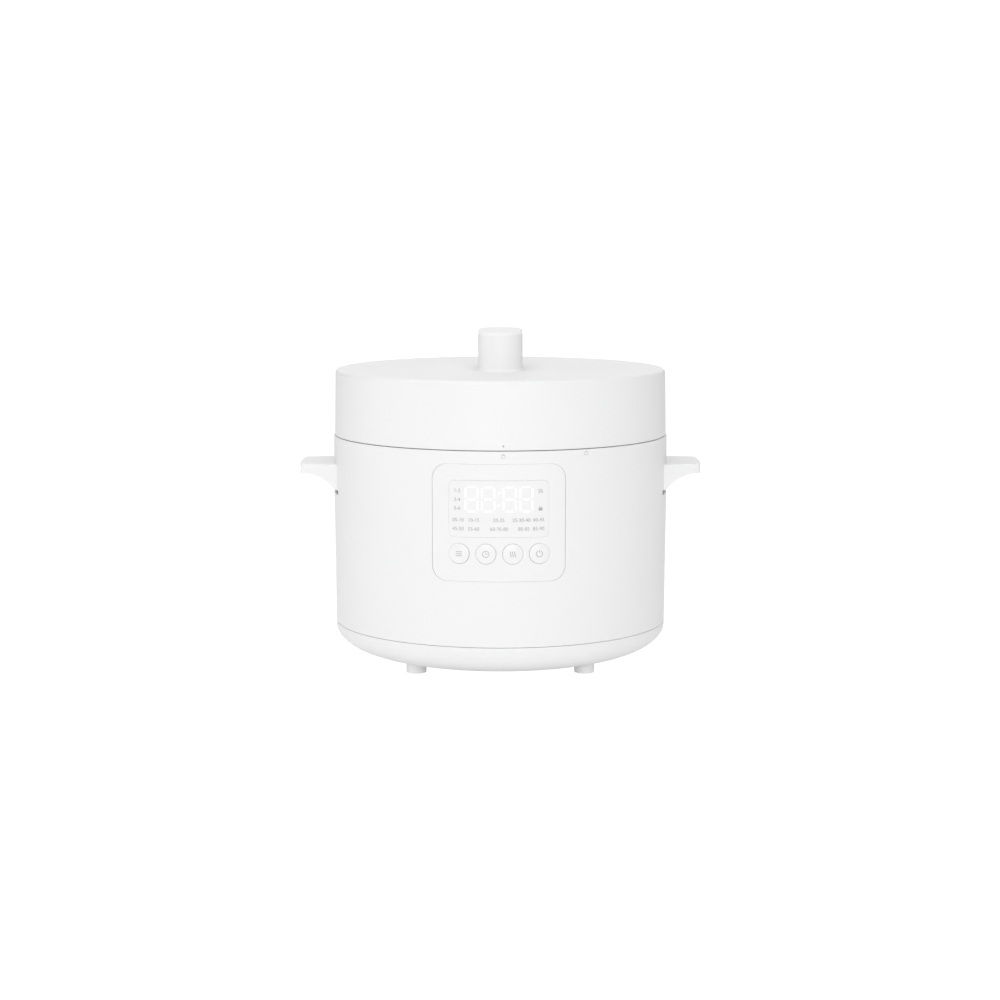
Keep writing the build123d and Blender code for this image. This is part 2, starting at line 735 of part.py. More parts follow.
window_band = wall_band(WINDOW_Z - 30, WINDOW_Z + 30, 0, WINDOW_THICK)
pocket_band = wall_band(WINDOW_Z - 30, WINDOW_Z + 30, -1, WINDOW_THICK)
panel_band = wall_band(PANEL_Z - PANEL_H / 2, PANEL_Z + PANEL_H / 2, 0, 4.6)
panel_flange_band = wall_band(PANEL_Z - PANEL_H / 2 - 3, PANEL_Z + PANEL_H / 2 + 3, WALL + 0.1, 4.6)

with BuildPart() as display_window:
    add(window_band)
    with BuildSketch(Plane.XZ.offset(FRONT_Y)):
        with Locations((WINDOW_X, WINDOW_Z)):
            RectangleRounded(WINDOW_W, WINDOW_H, WINDOW_CORNER)
    extrude(amount=FRONT_DEPTH, mode=Mode.INTERSECT)
keep(display_window.part, "display_window")

with BuildPart() as window_pocket:
    add(pocket_band)
    with BuildSketch(Plane.XZ.offset(FRONT_Y)):
        with Locations((WINDOW_X, WINDOW_Z)):
            RectangleRounded(
                WINDOW_W + 2 * WINDOW_GAP, WINDOW_H + 2 * WINDOW_GAP, WINDOW_CORNER + WINDOW_GAP
            )
    extrude(amount=FRONT_DEPTH, mode=Mode.INTERSECT)

with BuildPart() as panel_flange:
    add(panel_flange_band)
    with BuildSketch(Plane.XZ.offset(FRONT_Y)):
        with Locations((PANEL_X, PANEL_Z)):
            RectangleRounded(PANEL_W + 6, PANEL_H + 6, PANEL_CORNER + 3)
    extrude(amount=FRONT_DEPTH, mode=Mode.INTERSECT)

with BuildPart() as panel_posts:
    with BuildSketch(Plane.XZ.offset(CARRIER_Y)):
        with Locations(*POSTS):
            Circle(3)
    extrude(amount=10)
    Cylinder(radius=BODY_R - 4, height=600, mode=Mode.INTERSECT)

with BuildPart() as control_panel:
    add(panel_band)
    with BuildSketch(Plane.XZ.offset(FRONT_Y)):
        with Locations((PANEL_X, PANEL_Z)):
            RectangleRounded(PANEL_W, PANEL_H, PANEL_CORNER)
    extrude(amount=FRONT_DEPTH, mode=Mode.INTERSECT)
    add(panel_flange.part)
    add(window_pocket.part, mode=Mode.SUBTRACT)
    with BuildSketch(Plane.XZ.offset(FRONT_Y)):
        with Locations((WINDOW_X, WINDOW_Z)):
            RectangleRounded(WINDOW_W - 6, WINDOW_H - 6, 2)
        with Locations(*[(x, BUTTON_Z) for x in BUTTON_XS]):
            Circle(KEY_R + KEY_GAP)
    extrude(amount=FRONT_DEPTH, mode=Mode.SUBTRACT)
    add(panel_posts.part)
    with BuildSketch(Plane.XZ.offset(CARRIER_Y)):
        with Locations(*POSTS):
            Circle(1.1 + FIT)
    extrude(amount=5, mode=Mode.SUBTRACT)
keep(control_panel.part, "control_panel")

with BuildPart() as board_carrier:
    with BuildSketch(Plane.XZ.offset(CARRIER_BACK_Y)):
        with Locations((0, 133)):
            RectangleRounded(102, 86, 3)
        with Locations(*POSTS):
            Circle(1.1 + FIT, mode=Mode.SUBTRACT)
    extrude(amount=CARRIER_Y - CARRIER_BACK_Y)
keep(board_carrier.part, "board_carrier")

with BuildPart() as control_board:
    with BuildSketch(Plane.XZ.offset(CARRIER_Y)):
        with Locations((0, 133)):
            Rectangle(84, 78)
    extrude(amount=BOARD_FRONT_Y - CARRIER_Y)
keep(control_board.part, "control_board")

with BuildPart() as led_display:
    with BuildSketch(Plane.XZ.offset(BOARD_FRONT_Y)):
        with Locations((WINDOW_X, 151)):
            RectangleRounded(54, 26, 1)
    extrude(amount=7.2)
    chamfer(led_display.faces().sort_by(Axis.Y)[0].edges(), length=0.6)
keep(led_display.part, "led_display")

with BuildPart() as key_switches:
    with BuildSketch(Plane.XZ.offset(BOARD_FRONT_Y)):
        with Locations(*[(x, BUTTON_Z) for x in BUTTON_XS]):
            Rectangle(6, 6)
    extrude(amount=1.6)
    with BuildSketch(Plane.XZ.offset(BOARD_FRONT_Y + 1.6)):
        with Locations(*[(x, BUTTON_Z) for x in BUTTON_XS]):
            Circle(1.6)
    extrude(amount=0.8)
keep(key_switches.part, "key_switches")

with BuildPart() as panel_screw:
    with BuildSketch(Plane.XZ.offset(CARRIER_BACK_Y)):
        Circle(1.1)
    extrude(amount=5.6)
    with BuildSketch(Plane.XZ.offset(CARRIER_BACK_Y)):
        Circle(2.2)
    extrude(amount=-0.9)
keep(group(panel_screw.part.translate((x, 0, z)) for x, z in POSTS), "panel_screws")

# ---------------------------------------------------------------- buttons
# Round keycaps with a retaining flange and a stem over the key switch. They travel straight in.
CAP_BACK_Y = 126.8
FLANGE_BACK_Y = 125.6
BUTTON_PROUD = 0.5
CAP_HOLLOW = 5.6
BUTTON_NAMES = ("menu_button", "time_button", "keep_warm_button", "start_button")
cap_limit = wall_band(BUTTON_Z - 20, BUTTON_Z + 20, -BUTTON_PROUD, 20)

for button_name, button_x in zip(BUTTON_NAMES, BUTTON_XS):
    with BuildPart() as button:
        with BuildSketch(Plane.XZ.offset(CAP_BACK_Y)):
            with Locations((button_x, BUTTON_Z)):
                Circle(KEY_R)
        extrude(amount=20)
        add(cap_limit, mode=Mode.INTERSECT)
        fillet(button.faces().sort_by(Axis.Y)[0].edges(), radius=0.5)
        with BuildSketch(Plane.XZ.offset(FLANGE_BACK_Y)):
            with Locations((button_x, BUTTON_Z)):
                Circle(KEY_R + 1.1)
        extrude(amount=CAP_BACK_Y - FLANGE_BACK_Y)
        with BuildSketch(Plane.XZ.offset(FLANGE_BACK_Y)):
            with Locations((button_x, BUTTON_Z)):
                Circle(KEY_R - 1.5)
                Circle(2.2, mode=Mode.SUBTRACT)
        extrude(amount=CAP_HOLLOW, mode=Mode.SUBTRACT)
        with BuildSketch(Plane.XZ.offset(FLANGE_BACK_Y)):
            with Locations((button_x, BUTTON_Z)):
                Circle(2.2)
        extrude(amount=1.4, mode=Mode.SUBTRACT)
    keep(button.part, button_name)

# ---------------------------------------------------------------- wiring
LEAD_R = 1.4


def lead(points, radius=LEAD_R, bend=5.0):
    """An insulated lead along straight runs joined by bends."""
    with BuildPart() as wire:
        with BuildLine():
            route = FilletPolyline(*points, radius=bend)
        with BuildSketch(Plane(origin=route @ 0, z_dir=route % 0)):
            Circle(radius)
        sweep()
    return wire.part


LEAD_Z = 19.5
keep(
    group(
        lead(
            [(x, 126, INLET_Z - 11.25), (x, 126, 24), (x, 104, 18.4), (x, 90, 18.4), (x, 90, BOARD_TOP_Z)],
            bend=2.6,
        )
        for x in (-8, 8)
    ),
    "mains_leads",
)
terminal_x = TERMINAL_R * sin(radians(15))
terminal_y = TERMINAL_R * cos(radians(15))
keep(
    group(
        lead([(x, 38, BOARD_TOP_Z), (x, 38, LEAD_Z), (x, 2.6 - terminal_y, LEAD_Z)])
        for x in (-terminal_x, terminal_x)
    ),
    "heater_leads",
)
keep(
    lead([(0, 0, WELL_FLOOR_Z), (0, 0, LEAD_Z), (0, 40, LEAD_Z), (0, 40, BOARD_TOP_Z)], bend=4),
    "sensor_lead",
)
keep(
    lead(
        [
            (34, 38, BOARD_TOP_Z),
            (34, 38, LEAD_Z),
            (34, -109, LEAD_Z),
            (34, -122.6, 32),
            (34, -122.6, 94),
        ],
        radius=0.8,
        bend=4,
    ),
    "control_lead",
)

# ---------------------------------------------------------------- inner pot
# Drawn pot with rounded corners and a rolled rim that rests in the well.
POT_WALL = 1.5
RIM_R = 117.0
with BuildPart() as inner_pot:
    with BuildSketch(Plane.XZ):
        with BuildLine():
            Polyline(
                (0, POT_LOW_Z),
                (POT_R, POT_LOW_Z),
                (POT_R, POT_RIM_Z - 1.6),
                (RIM_R, POT_RIM_Z - 1.6),
                (RIM_R, POT_RIM_Z),
                (POT_R - POT_WALL, POT_RIM_Z),
                (POT_R - POT_WALL, POT_LOW_Z + POT_WALL + 0.5),
                (0, POT_LOW_Z + POT_WALL + 0.5),
                close=True,
            )
        make_face()
    revolve(axis=Axis.Z)
    circles = inner_pot.edges().filter_by(GeomType.CIRCLE)
    fillet(circles.filter_by(lambda e: e.center().Z < POT_LOW_Z + 0.1), radius=16)
    circles = inner_pot.edges().filter_by(GeomType.CIRCLE)
    inside = circles.filter_by(lambda e: abs(e.center().Z - POT_LOW_Z - POT_WALL - 0.5) < 0.1)
    fillet(inside, radius=14.5)
    fillet(inner_pot.edges().filter_by(GeomType.CIRCLE).group_by(Axis.Z)[-1], radius=0.6)
keep(inner_pot.part, "inner_pot")

# ---------------------------------------------------------------- lid liner
# Inner plate with the sealing ring, pushed onto the lid's centre stud by a rubber grommet.
LINER_Z = 200.0
LINER_R = 102.2
STUD_R = 3.0
with BuildPart() as liner_plate:
    add(
        turned(
            [
                (6.05, LINER_Z),
                (LINER_R, LINER_Z),
                (LINER_R, LINER_Z + 6),
                (LINER_R - 1.2, LINER_Z + 6),
                (LINER_R - 1.2, LINER_Z + SHEET),
                (6.05, LINER_Z + SHEET),
            ]
        )
    )
    with BuildSketch(Plane.XY.offset(LINER_Z)):
        with PolarLocations(60, 8):
            Circle(3)
    extrude(amount=SHEET, mode=Mode.SUBTRACT)
keep(liner_plate.part, "liner_plate")

# C-section ring: the lower lip seals on the pot's rim, the upper one under the lid's steel.
SEAL_R = 116.6
keep(
    turned(
        [
            (LINER_R + 0.02, LINER_Z),
            (106, 198.5),
            (SEAL_R, 198.5),
            (SEAL_R, 200.4),
            (109, 200.6),
            (107, 202.6),
            (107, 203.4),
            (109, 205.4),
            (SEAL_R, 205.6),
            (SEAL_R, 207.6),
            (LINER_R + 0.02, 207.6),
        ]
    ),
    "sealing_ring",
)
keep(
    turned(
        [
            (STUD_R + FIT, 197.5),
            (7.5, 197.5),
            (8.2, 200),
            (6.0, 200),
            (6.0, 201.2),
            (8.2, 201.2),
            (7.0, 203.6),
            (STUD_R + FIT, 203.6),
        ]
    ),
    "liner_grommet",
)

# ---------------------------------------------------------------- lid
PRESSURE_Z = 208.2
PRESSURE_T = 2.0
PRESSURE_R = 131.0
LID_LUG_R = 123.5
LID_LUG_LOW_Z = 190.5
LID_LUG_TOP_Z = 194.0
BOSS_R = 95.0
BOSS_ANGLES = (30, 150, 270)
KNOB_SCREW_Y = 28.0
LID_UNDER_Z = LID_TOP_Z - WALL

with BuildPart() as lid_cover:
    with BuildSketch(Plane.XZ):
        with BuildLine():
            Polyline(
                (0, LID_TOP_Z),
                (LID_TOP_R, LID_TOP_Z),
                (LID_LOW_R, LID_LOW_Z),
                (LID_LOW_R - WALL, LID_LOW_Z),
                (LID_TOP_R - WALL, LID_UNDER_Z),
                (0, LID_UNDER_Z),
                close=True,
            )
        make_face()
    revolve(axis=Axis.Z)
    rims = lid_cover.edges().filter_by(GeomType.CIRCLE)
    fillet(rims.filter_by(lambda e: e.center().Z > LID_TOP_Z - 0.1), radius=3.2)
    rims = lid_cover.edges().filter_by(GeomType.CIRCLE)
    fillet(rims.filter_by(lambda e: abs(e.center().Z - LID_UNDER_Z) < 0.1), radius=1.6)
    lower = lid_cover.edges().filter_by(GeomType.CIRCLE).group_by(Axis.Z)[0]
    fillet(lower.sort_by(SortBy.RADIUS)[-1], radius=0.6)
    with BuildSketch(Plane.XY.offset(PRESSURE_Z + PRESSURE_T)):
        with Locations(*around(BOSS_R, BOSS_ANGLES)):
            Circle(5)
    extrude(amount=LID_UNDER_Z - PRESSURE_Z - PRESSURE_T + 1)
    with BuildSketch(Plane.XY.offset(PRESSURE_Z + PRESSURE_T)):
        with Locations(*around(BOSS_R, BOSS_ANGLES)):
            Circle(1.9 + FIT)
    extrude(amount=18, mode=Mode.SUBTRACT)
    with BuildSketch(Plane.XY.offset(LID_UNDER_Z - 1)):
        with Locations((0, VALVE_Y)):
            Circle(14)
        with Locations((0, FLOAT_Y)):
            Circle(4.5)
        with Locations((0, -KNOB_SCREW_Y), (0, KNOB_SCREW_Y)):
            Circle(2.0 + FIT)
    extrude(amount=WALL + 2, mode=Mode.SUBTRACT)
keep(lid_cover.part, "lid_cover")

pressure_blank = turned(
    [
        (STUD_R + FIT, PRESSURE_Z),
        (PRESSURE_R - 2, PRESSURE_Z),
        (PRESSURE_R - 2, LID_LUG_LOW_Z),
        (PRESSURE_R, LID_LUG_LOW_Z),
        (PRESSURE_R, PRESSURE_Z),
        (PRESSURE_R - 2, PRESSURE_Z + PRESSURE_T),
        (STUD_R + FIT, PRESSURE_Z + PRESSURE_T),
    ]
)
lid_lugs = lug_ring(LID_LUG_R, PRESSURE_R - 1, LID_LUG_LOW_Z, LID_LUG_TOP_Z - LID_LUG_LOW_Z)

with BuildPart() as pressure_lid:
    add(pressure_blank)
    add(lid_lugs)
    with BuildSketch(Plane.XY.offset(PRESSURE_Z)):
        with Locations(*around(BOSS_R, BOSS_ANGLES)):
            Circle(1.9 + FIT)
        with Locations((0, VALVE_Y)):
            Circle(4.5 + FIT)
        with Locations((0, FLOAT_Y)):
            Circle(3.0 + FIT)
    extrude(amount=PRESSURE_T, mode=Mode.SUBTRACT)
keep(pressure_lid.part, "pressure_lid")

keep(
    group(
        screw(x, y, PRESSURE_Z, 3.4, 2.0, 1.9, 17) for x, y in around(BOSS_R, BOSS_ANGLES)
    ),
    "lid_screws",
)
keep(
    turned(
        [
            (0, 193.6),
            (2.6, 193.6),
            (4.2, 195.4),
            (4.2, 196.4),
            (STUD_R, 197.2),
            (STUD_R, PRESSURE_Z + PRESSURE_T),
            (6, PRESSURE_Z + PRESSURE_T),
            (5, PRESSURE_Z + PRESSURE_T + 2.2),
            (0, PRESSURE_Z + PRESSURE_T + 2.2),
        ]
    ),
    "centre_stud",
)

# Hollow grip across the middle of the lid, flared where it meets the lid.
KNOB_TOP_Z = 275.0
KNOB_W = 36.4
KNOB_L = 90.0
KNOB_WALL = 3.0
KNOB_FLARE = 1.7
with BuildPart() as lid_handle:
    with BuildSketch(Plane.XY.offset(LID_TOP_Z)):
        SlotOverall(KNOB_L + 2 * KNOB_FLARE, KNOB_W + 2 * KNOB_FLARE, rotation=90)
    extrude(amount=0.6)
    with BuildSketch(Plane.XY.offset(LID_TOP_Z)):
        SlotOverall(KNOB_L, KNOB_W, rotation=90)
    extrude(amount=KNOB_TOP_Z - LID_TOP_Z)
    fillet(lid_handle.faces().sort_by(Axis.Z)[-1].edges(), radius=2.4)
    corner = lid_handle.edges().filter_by(lambda e: abs(e.center().Z - LID_TOP_Z - 0.6) < 0.01)
    inner_corner = corner.filter_by(lambda e: abs((e @ 0.5).X) < KNOB_W / 2 + 0.1)
    fillet(inner_corner.filter_by(lambda e: abs((e @ 0.5).Y) < KNOB_L / 2 + 0.1), radius=1.4)
    with BuildSketch(Plane.XY.offset(LID_TOP_Z)):
        SlotOverall(KNOB_L - 2 * KNOB_WALL, KNOB_W - 2 * KNOB_WALL, rotation=90)
    extrude(amount=KNOB_TOP_Z - LID_TOP_Z - KNOB_WALL, mode=Mode.SUBTRACT)
    with BuildSketch(Plane.XY.offset(LID_TOP_Z)):
        with Locations((0, -KNOB_SCREW_Y), (0, KNOB_SCREW_Y)):
            Circle(5)
    extrude(amount=KNOB_TOP_Z - LID_TOP_Z - 1)
    with BuildSketch(Plane.XY.offset(LID_TOP_Z)):
        with Locations((0, -KNOB_SCREW_Y), (0, KNOB_SCREW_Y)):
            Circle(2.0 + FIT)
    extrude(amount=18, mode=Mode.SUBTRACT)
keep(lid_handle.part, "lid_handle")
keep(
    group(screw(0, y, LID_UNDER_Z, 3.6, 2.6, 2.0, 17) for y in (-KNOB_SCREW_Y, KNOB_SCREW_Y)),
    "lid_handle_screws",
)

# ---------------------------------------------------------------- steam release
# A steel pipe through the lid, held by a nut. The weighted valve sits over it and turns on it.
PIPE_R = 4.5
PRESSURE_TOP_Z = PRESSURE_Z + PRESSURE_T
keep(
    turned(
        [
            (2, PRESSURE_Z - 3),
            (7.5, PRESSURE_Z - 3),
            (8, PRESSURE_Z),
            (PIPE_R, PRESSURE_Z),
            (PIPE_R, 236),
            (2, 237.5),
        ],
        0,
        VALVE_Y,
    ),
    "steam_pipe",
)
with BuildPart() as pipe_nut:
    with BuildSketch(Plane.XY.offset(PRESSURE_TOP_Z)):
        with Locations((0, VALVE_Y)):
            RegularPolygon(radius=8, side_count=6)
            Circle(PIPE_R + FIT, mode=Mode.SUBTRACT)
    extrude(amount=4)
keep(pipe_nut.part, "pipe_nut")

VALVE_TOP_Z = 256.5
valve_blank = turned(
    [
        (PIPE_R + 0.06, 222),
        (7.5, 222),
        (7.5, 240),
        (12.8, 240),
        (12.8, VALVE_TOP_Z - 7.5),
        (11.6, VALVE_TOP_Z - 6),
        (0, VALVE_TOP_Z - 6),
        (0, 238.5),
        (PIPE_R + 0.06, 238.5),
    ],
    0,
    VALVE_Y,
)
with BuildPart() as release_valve:
    add(valve_blank)
    with BuildSketch(Plane.XY.offset(VALVE_TOP_Z - 6)):
        with Locations((0, VALVE_Y)):
            SlotOverall(22, 6, rotation=90)
    extrude(amount=6)
    fillet(release_valve.faces().sort_by(Axis.Z)[-1].edges(), radius=1.2)
keep(release_valve.part, "release_valve")

# Float pin that rises under pressure, with its own small seal.
keep(
    turned(
        [
            (0, 201.8),
            (3.4, 201.8),
            (3.4, 202.0),
            (2.0, 202.0),
            (2.0, 204.0),
            (3.0, 204.0),
            (3.0, PRESSURE_TOP_Z + 0.3),
            (4.3, PRESSURE_TOP_Z + 0.3),
            (4.3, PRESSURE_TOP_Z + 1.5),
            (3.0, PRESSURE_TOP_Z + 1.5),
            (3.0, 239.2),
            (2.2, 240),
            (0, 240),
        ],
        0,
        FLOAT_Y,
    ),
    "float_pin",
)
keep(
    turned([(2.0, 202.0), (4.8, 202.0), (5.2, 203.0), (4.0, 204.0), (2.0, 204.0)], 0, FLOAT_Y),
    "float_seal",
)
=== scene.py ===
import math
import bpy
import bmesh
from mathutils import Matrix, Vector


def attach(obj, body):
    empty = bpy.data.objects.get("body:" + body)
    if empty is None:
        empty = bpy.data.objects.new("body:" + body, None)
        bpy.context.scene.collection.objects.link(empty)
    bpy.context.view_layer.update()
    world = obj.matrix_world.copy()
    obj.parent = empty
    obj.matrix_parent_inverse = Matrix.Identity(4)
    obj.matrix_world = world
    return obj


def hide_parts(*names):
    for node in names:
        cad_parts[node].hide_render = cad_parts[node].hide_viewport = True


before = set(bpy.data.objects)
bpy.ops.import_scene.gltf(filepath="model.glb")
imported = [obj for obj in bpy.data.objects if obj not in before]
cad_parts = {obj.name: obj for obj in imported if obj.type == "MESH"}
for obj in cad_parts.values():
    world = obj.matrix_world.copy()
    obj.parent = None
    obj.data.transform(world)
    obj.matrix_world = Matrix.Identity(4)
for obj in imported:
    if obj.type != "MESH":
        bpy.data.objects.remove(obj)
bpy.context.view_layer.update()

# ---- Studio
# A white table that glows a little, like a lit sweep, so a white cooker throws hardly any shadow.
# Soft boxes stand round it, the strongest low in front, and the camera looks slightly down.
# Seen from underneath the table is clear.
lens = bpy.data.cameras.new("studio_camera")
lens.sensor_width = 36.0
lens.lens = 84.4
lens.clip_end = 80
camera = bpy.data.objects.new("studio_camera", lens)
camera.location = (-0.0003, -1.949, 0.3912)
camera.rotation_euler = (math.radians(90 - 7.56), 0, 0)
bpy.context.scene.collection.objects.link(camera)
bpy.context.scene.camera = camera
bpy.context.scene.view_settings.view_transform = "Standard"


def softbox(name, place, aim, width, height, power):
    """A rectangular studio light at a place, turned to face a point."""
    data = bpy.data.lights.new(name, "AREA")
    data.shape = "RECTANGLE"
    data.size = width
    data.size_y = height
    data.energy = power
    lamp = bpy.data.objects.new(name, data)
    lamp.location = place
    lamp.rotation_euler = (Vector(aim) - Vector(place)).to_track_quat("-Z", "Y").to_euler()
    bpy.context.scene.collection.objects.link(lamp)


softbox("front_softbox", (0.0, -2.9, 1.0), (0, 0, 0.12), 2.4, 1.2, 32.8)
softbox("left_softbox", (-2.4, 0.0, 0.8), (0, 0, 0.12), 1.6, 1.6, 9.2)
softbox("right_softbox", (2.4, 0.0, 0.8), (0, 0, 0.12), 1.6, 1.6, 2.9)
softbox("top_softbox", (0.0, -0.2, 2.0), (0, 0, 0.2), 2.4, 2.4, 20.5)
softbox("back_softbox", (0.0, 2.4, 1.3), (0, 0, 0.2), 2.4, 1.6, 9.8)

world = bpy.data.worlds.new("studio_air")
world.use_nodes = True
bpy.context.scene.world = world
tree = world.node_tree
air = tree.nodes["Background"]
air.inputs["Color"].default_value = (1, 1, 1, 1)
air.inputs["Strength"].default_value = 0.4
backdrop = tree.nodes.new("ShaderNodeBackground")
backdrop.inputs["Color"].default_value = (1, 1, 1, 1)
backdrop.inputs["Strength"].default_value = 1.1
chooser = tree.nodes.new("ShaderNodeMixShader")
rays = tree.nodes.new("ShaderNodeLightPath")
tree.links.new(rays.outputs["Is Camera Ray"], chooser.inputs[0])
tree.links.new(air.outputs[0], chooser.inputs[1])
tree.links.new(backdrop.outputs[0], chooser.inputs[2])
tree.links.new(chooser.outputs[0], tree.nodes["World Output"].inputs["Surface"])

table_half = 9.0
table_mesh = bpy.data.meshes.new("studio_table")
corners = [(x * table_half, y * table_half, 0) for x, y in ((-1, -1), (1, -1), (1, 1), (-1, 1))]
table_mesh.from_pydata(corners, [], [(0, 1, 2, 3)])
table = bpy.data.objects.new("studio_table", table_mesh)
bpy.context.scene.collection.objects.link(table)
paper = bpy.data.materials.new("white_paper")
paper.use_nodes = True
tree = paper.node_tree
paper_shader = tree.nodes["Principled BSDF"]
paper_shader.inputs["Base Color"].default_value = (0.9, 0.9, 0.9, 1)
paper_shader.inputs["Roughness"].default_value = 0.9
paper_shader.inputs["Emission Color"].default_value = (1, 1, 1, 1)
paper_shader.inputs["Emission Strength"].default_value = 0.15
lit_paper = tree.nodes.new("ShaderNodeEmission")
lit_paper.inputs["Strength"].default_value = 1.1
paper_mix = tree.nodes.new("ShaderNodeMixShader")
paper_rays = tree.nodes.new("ShaderNodeLightPath")
tree.links.new(paper_rays.outputs["Is Camera Ray"], paper_mix.inputs[0])
tree.links.new(paper_shader.outputs[0], paper_mix.inputs[1])
tree.links.new(lit_paper.outputs[0], paper_mix.inputs[2])
from_under = tree.nodes.new("ShaderNodeMixShader")
tree.links.new(tree.nodes.new("ShaderNodeNewGeometry").outputs["Backfacing"], from_under.inputs[0])
tree.links.new(paper_mix.outputs[0], from_under.inputs[1])
tree.links.new(tree.nodes.new("ShaderNodeBsdfTransparent").outputs[0], from_under.inputs[2])
tree.links.new(from_under.outputs[0], tree.nodes["Material Output"].inputs["Surface"])
table_mesh.materials.append(paper)


# ---- Base
# The bowl-shaped bottom of the cooker, moulded in the same white plastic as the body.
# Four zinc-plated screws go up through its posts into the steel well.
def finish_of(name, colour, roughness, metallic=0.0):
    """A new material with its shader, and the object's own coordinates to draw patterns on."""
    made = bpy.data.materials.new(name)
    made.use_nodes = True
    nodes = made.node_tree.nodes
    shader = nodes["Principled BSDF"]
    shader.inputs["Base Color"].default_value = (*colour, 1)
    shader.inputs["Roughness"].default_value = roughness
    shader.inputs["Metallic"].default_value = metallic
    place = nodes.new("ShaderNodeTexCoord")
    return made, made.node_tree, shader, place.outputs["Object"]


def speckle(tree, place, size, detail=3.0):
    """Fine random grain, given by the size in metres of one grain."""
    grain = tree.nodes.new("ShaderNodeTexNoise")
    grain.inputs["Scale"].default_value = 1 / size
    grain.inputs["Detail"].default_value = detail
    tree.links.new(place, grain.inputs["Vector"])
    return grain.outputs["Fac"]


def two_tone(tree, amount, first, second):
    """A colour that runs from one tone to another as a pattern runs from 0 to 1."""
    blend = tree.nodes.new("ShaderNodeMix")
    blend.data_type = "RGBA"
    blend.inputs["A"].default_value = (*first, 1)
    blend.inputs["B"].default_value = (*second, 1)
    tree.links.new(amount, blend.inputs["Factor"])
    return blend.outputs["Result"]


def span(tree, amount, low, high, out_low, out_high):
    """One range of numbers stretched onto another."""
    fit = tree.nodes.new("ShaderNodeMapRange")
    limits = {"From Min": low, "From Max": high, "To Min": out_low, "To Max": out_high}
    for socket, value in limits.items():
        fit.inputs[socket].default_value = value
    tree.links.new(amount, fit.inputs["Value"])
    return fit.outputs["Result"]


def relief(tree, shader, height, depth, strength=1.0):
    """Raise the surface by a pattern; depth is in metres."""
    bump = tree.nodes.new("ShaderNodeBump")
    bump.inputs["Strength"].default_value = strength
    bump.inputs["Distance"].default_value = depth
    tree.links.new(height, bump.inputs["Height"])
    tree.links.new(bump.outputs["Normal"], shader.inputs["Normal"])


def moulded(name, colour, roughness, grain=0.0006, depth=0.000004, mottle=0.985, coat=0.0):
    """Injection-moulded plastic: a faint grain, and a sheen that varies a little."""
    made, tree, shader, place = finish_of(name, colour, roughness)
    fine = speckle(tree, place, grain)
    broad = speckle(tree, place, 0.05, 2.0)
    shade = two_tone(tree, broad, [c * mottle for c in colour], colour)
    tree.links.new(shade, shader.inputs["Base Color"])
    sheen = span(tree, fine, 0.3, 0.7, roughness - 0.04, roughness + 0.04)
    tree.links.new(sheen, shader.inputs["Roughness"])
    shader.inputs["Coat Weight"].default_value = coat
    shader.inputs["Coat Roughness"].default_value = 0.18
    relief(tree, shader, fine, depth)
    return made


def dress(finish, *names):
    """Give CAD pieces their finish."""
    for name in names:
        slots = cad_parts[name].data.materials
        slots.clear()
        slots.append(finish)


white_plastic = moulded("white_plastic", (0.83, 0.83, 0.83), 0.5, coat=0.04)
dress(white_plastic, "base_cover")

zinc, tree, shader, place = finish_of("zinc_plate", (0.62, 0.62, 0.6), 0.32, 1.0)
crystals = tree.nodes.new("ShaderNodeTexVoronoi")
crystals.inputs["Scale"].default_value = 2500
tree.links.new(place, crystals.inputs["Vector"])
zinc_tone = two_tone(tree, crystals.outputs["Distance"], (0.66, 0.66, 0.63), (0.52, 0.53, 0.54))
tree.links.new(zinc_tone, shader.inputs["Base Color"])
relief(tree, shader, crystals.outputs["Distance"], 0.00001)
dress(zinc, "base_screws", "board_screws", "plate_screws", "panel_screws", "side_handle_screws")

# ---- Feet
# Four pale rubber pucks whose stems snap through the base. Each stands on a ringed sole.
# The feet are pale rubber, and their colour is painted lighter still: painted light that stands in
# for the light the bowl keeps off them.
foot_rubber, tree, shader, place = finish_of("foot_rubber", (0.86, 0.86, 0.86), 0.75)
bloom = speckle(tree, place, 0.0015, 6.0)
foot_tone_painted_lighter = two_tone(tree, bloom, (0.9, 0.9, 0.9), (0.96, 0.96, 0.955))
tree.links.new(foot_tone_painted_lighter, shader.inputs["Base Color"])
relief(tree, shader, speckle(tree, place, 0.0003), 0.00003)
dress(foot_rubber, "foot_front_left", "foot_front_right", "foot_rear_left", "foot_rear_right")

# ---- Power board
# A glass-fibre board with green solder mask on four standoffs, with a relay, a small transformer
# and three capacitors soldered to it.
board_green, tree, shader, place = finish_of("solder_mask", (0.03, 0.2, 0.07), 0.3)
tracks = tree.nodes.new("ShaderNodeTexBrick")
tracks.inputs["Scale"].default_value = 150
tracks.inputs["Mortar Size"].default_value = 0.06
tracks.inputs["Color1"].default_value = (0.02, 0.16, 0.055, 1)
tracks.inputs["Color2"].default_value = (0.025, 0.19, 0.07, 1)
tracks.inputs["Mortar"].default_value = (0.06, 0.32, 0.13, 1)
tree.links.new(place, tracks.inputs["Vector"])
tree.links.new(tracks.outputs["Color"], shader.inputs["Base Color"])
relief(tree, shader, tracks.outputs["Fac"], 0.00003)
dress(board_green, "power_board", "control_board")
dress(moulded("relay_blue", (0.02, 0.09, 0.36), 0.3), "relay")
dress(moulded("sleeve_black", (0.012, 0.012, 0.018), 0.35, grain=0.002), "capacitors")

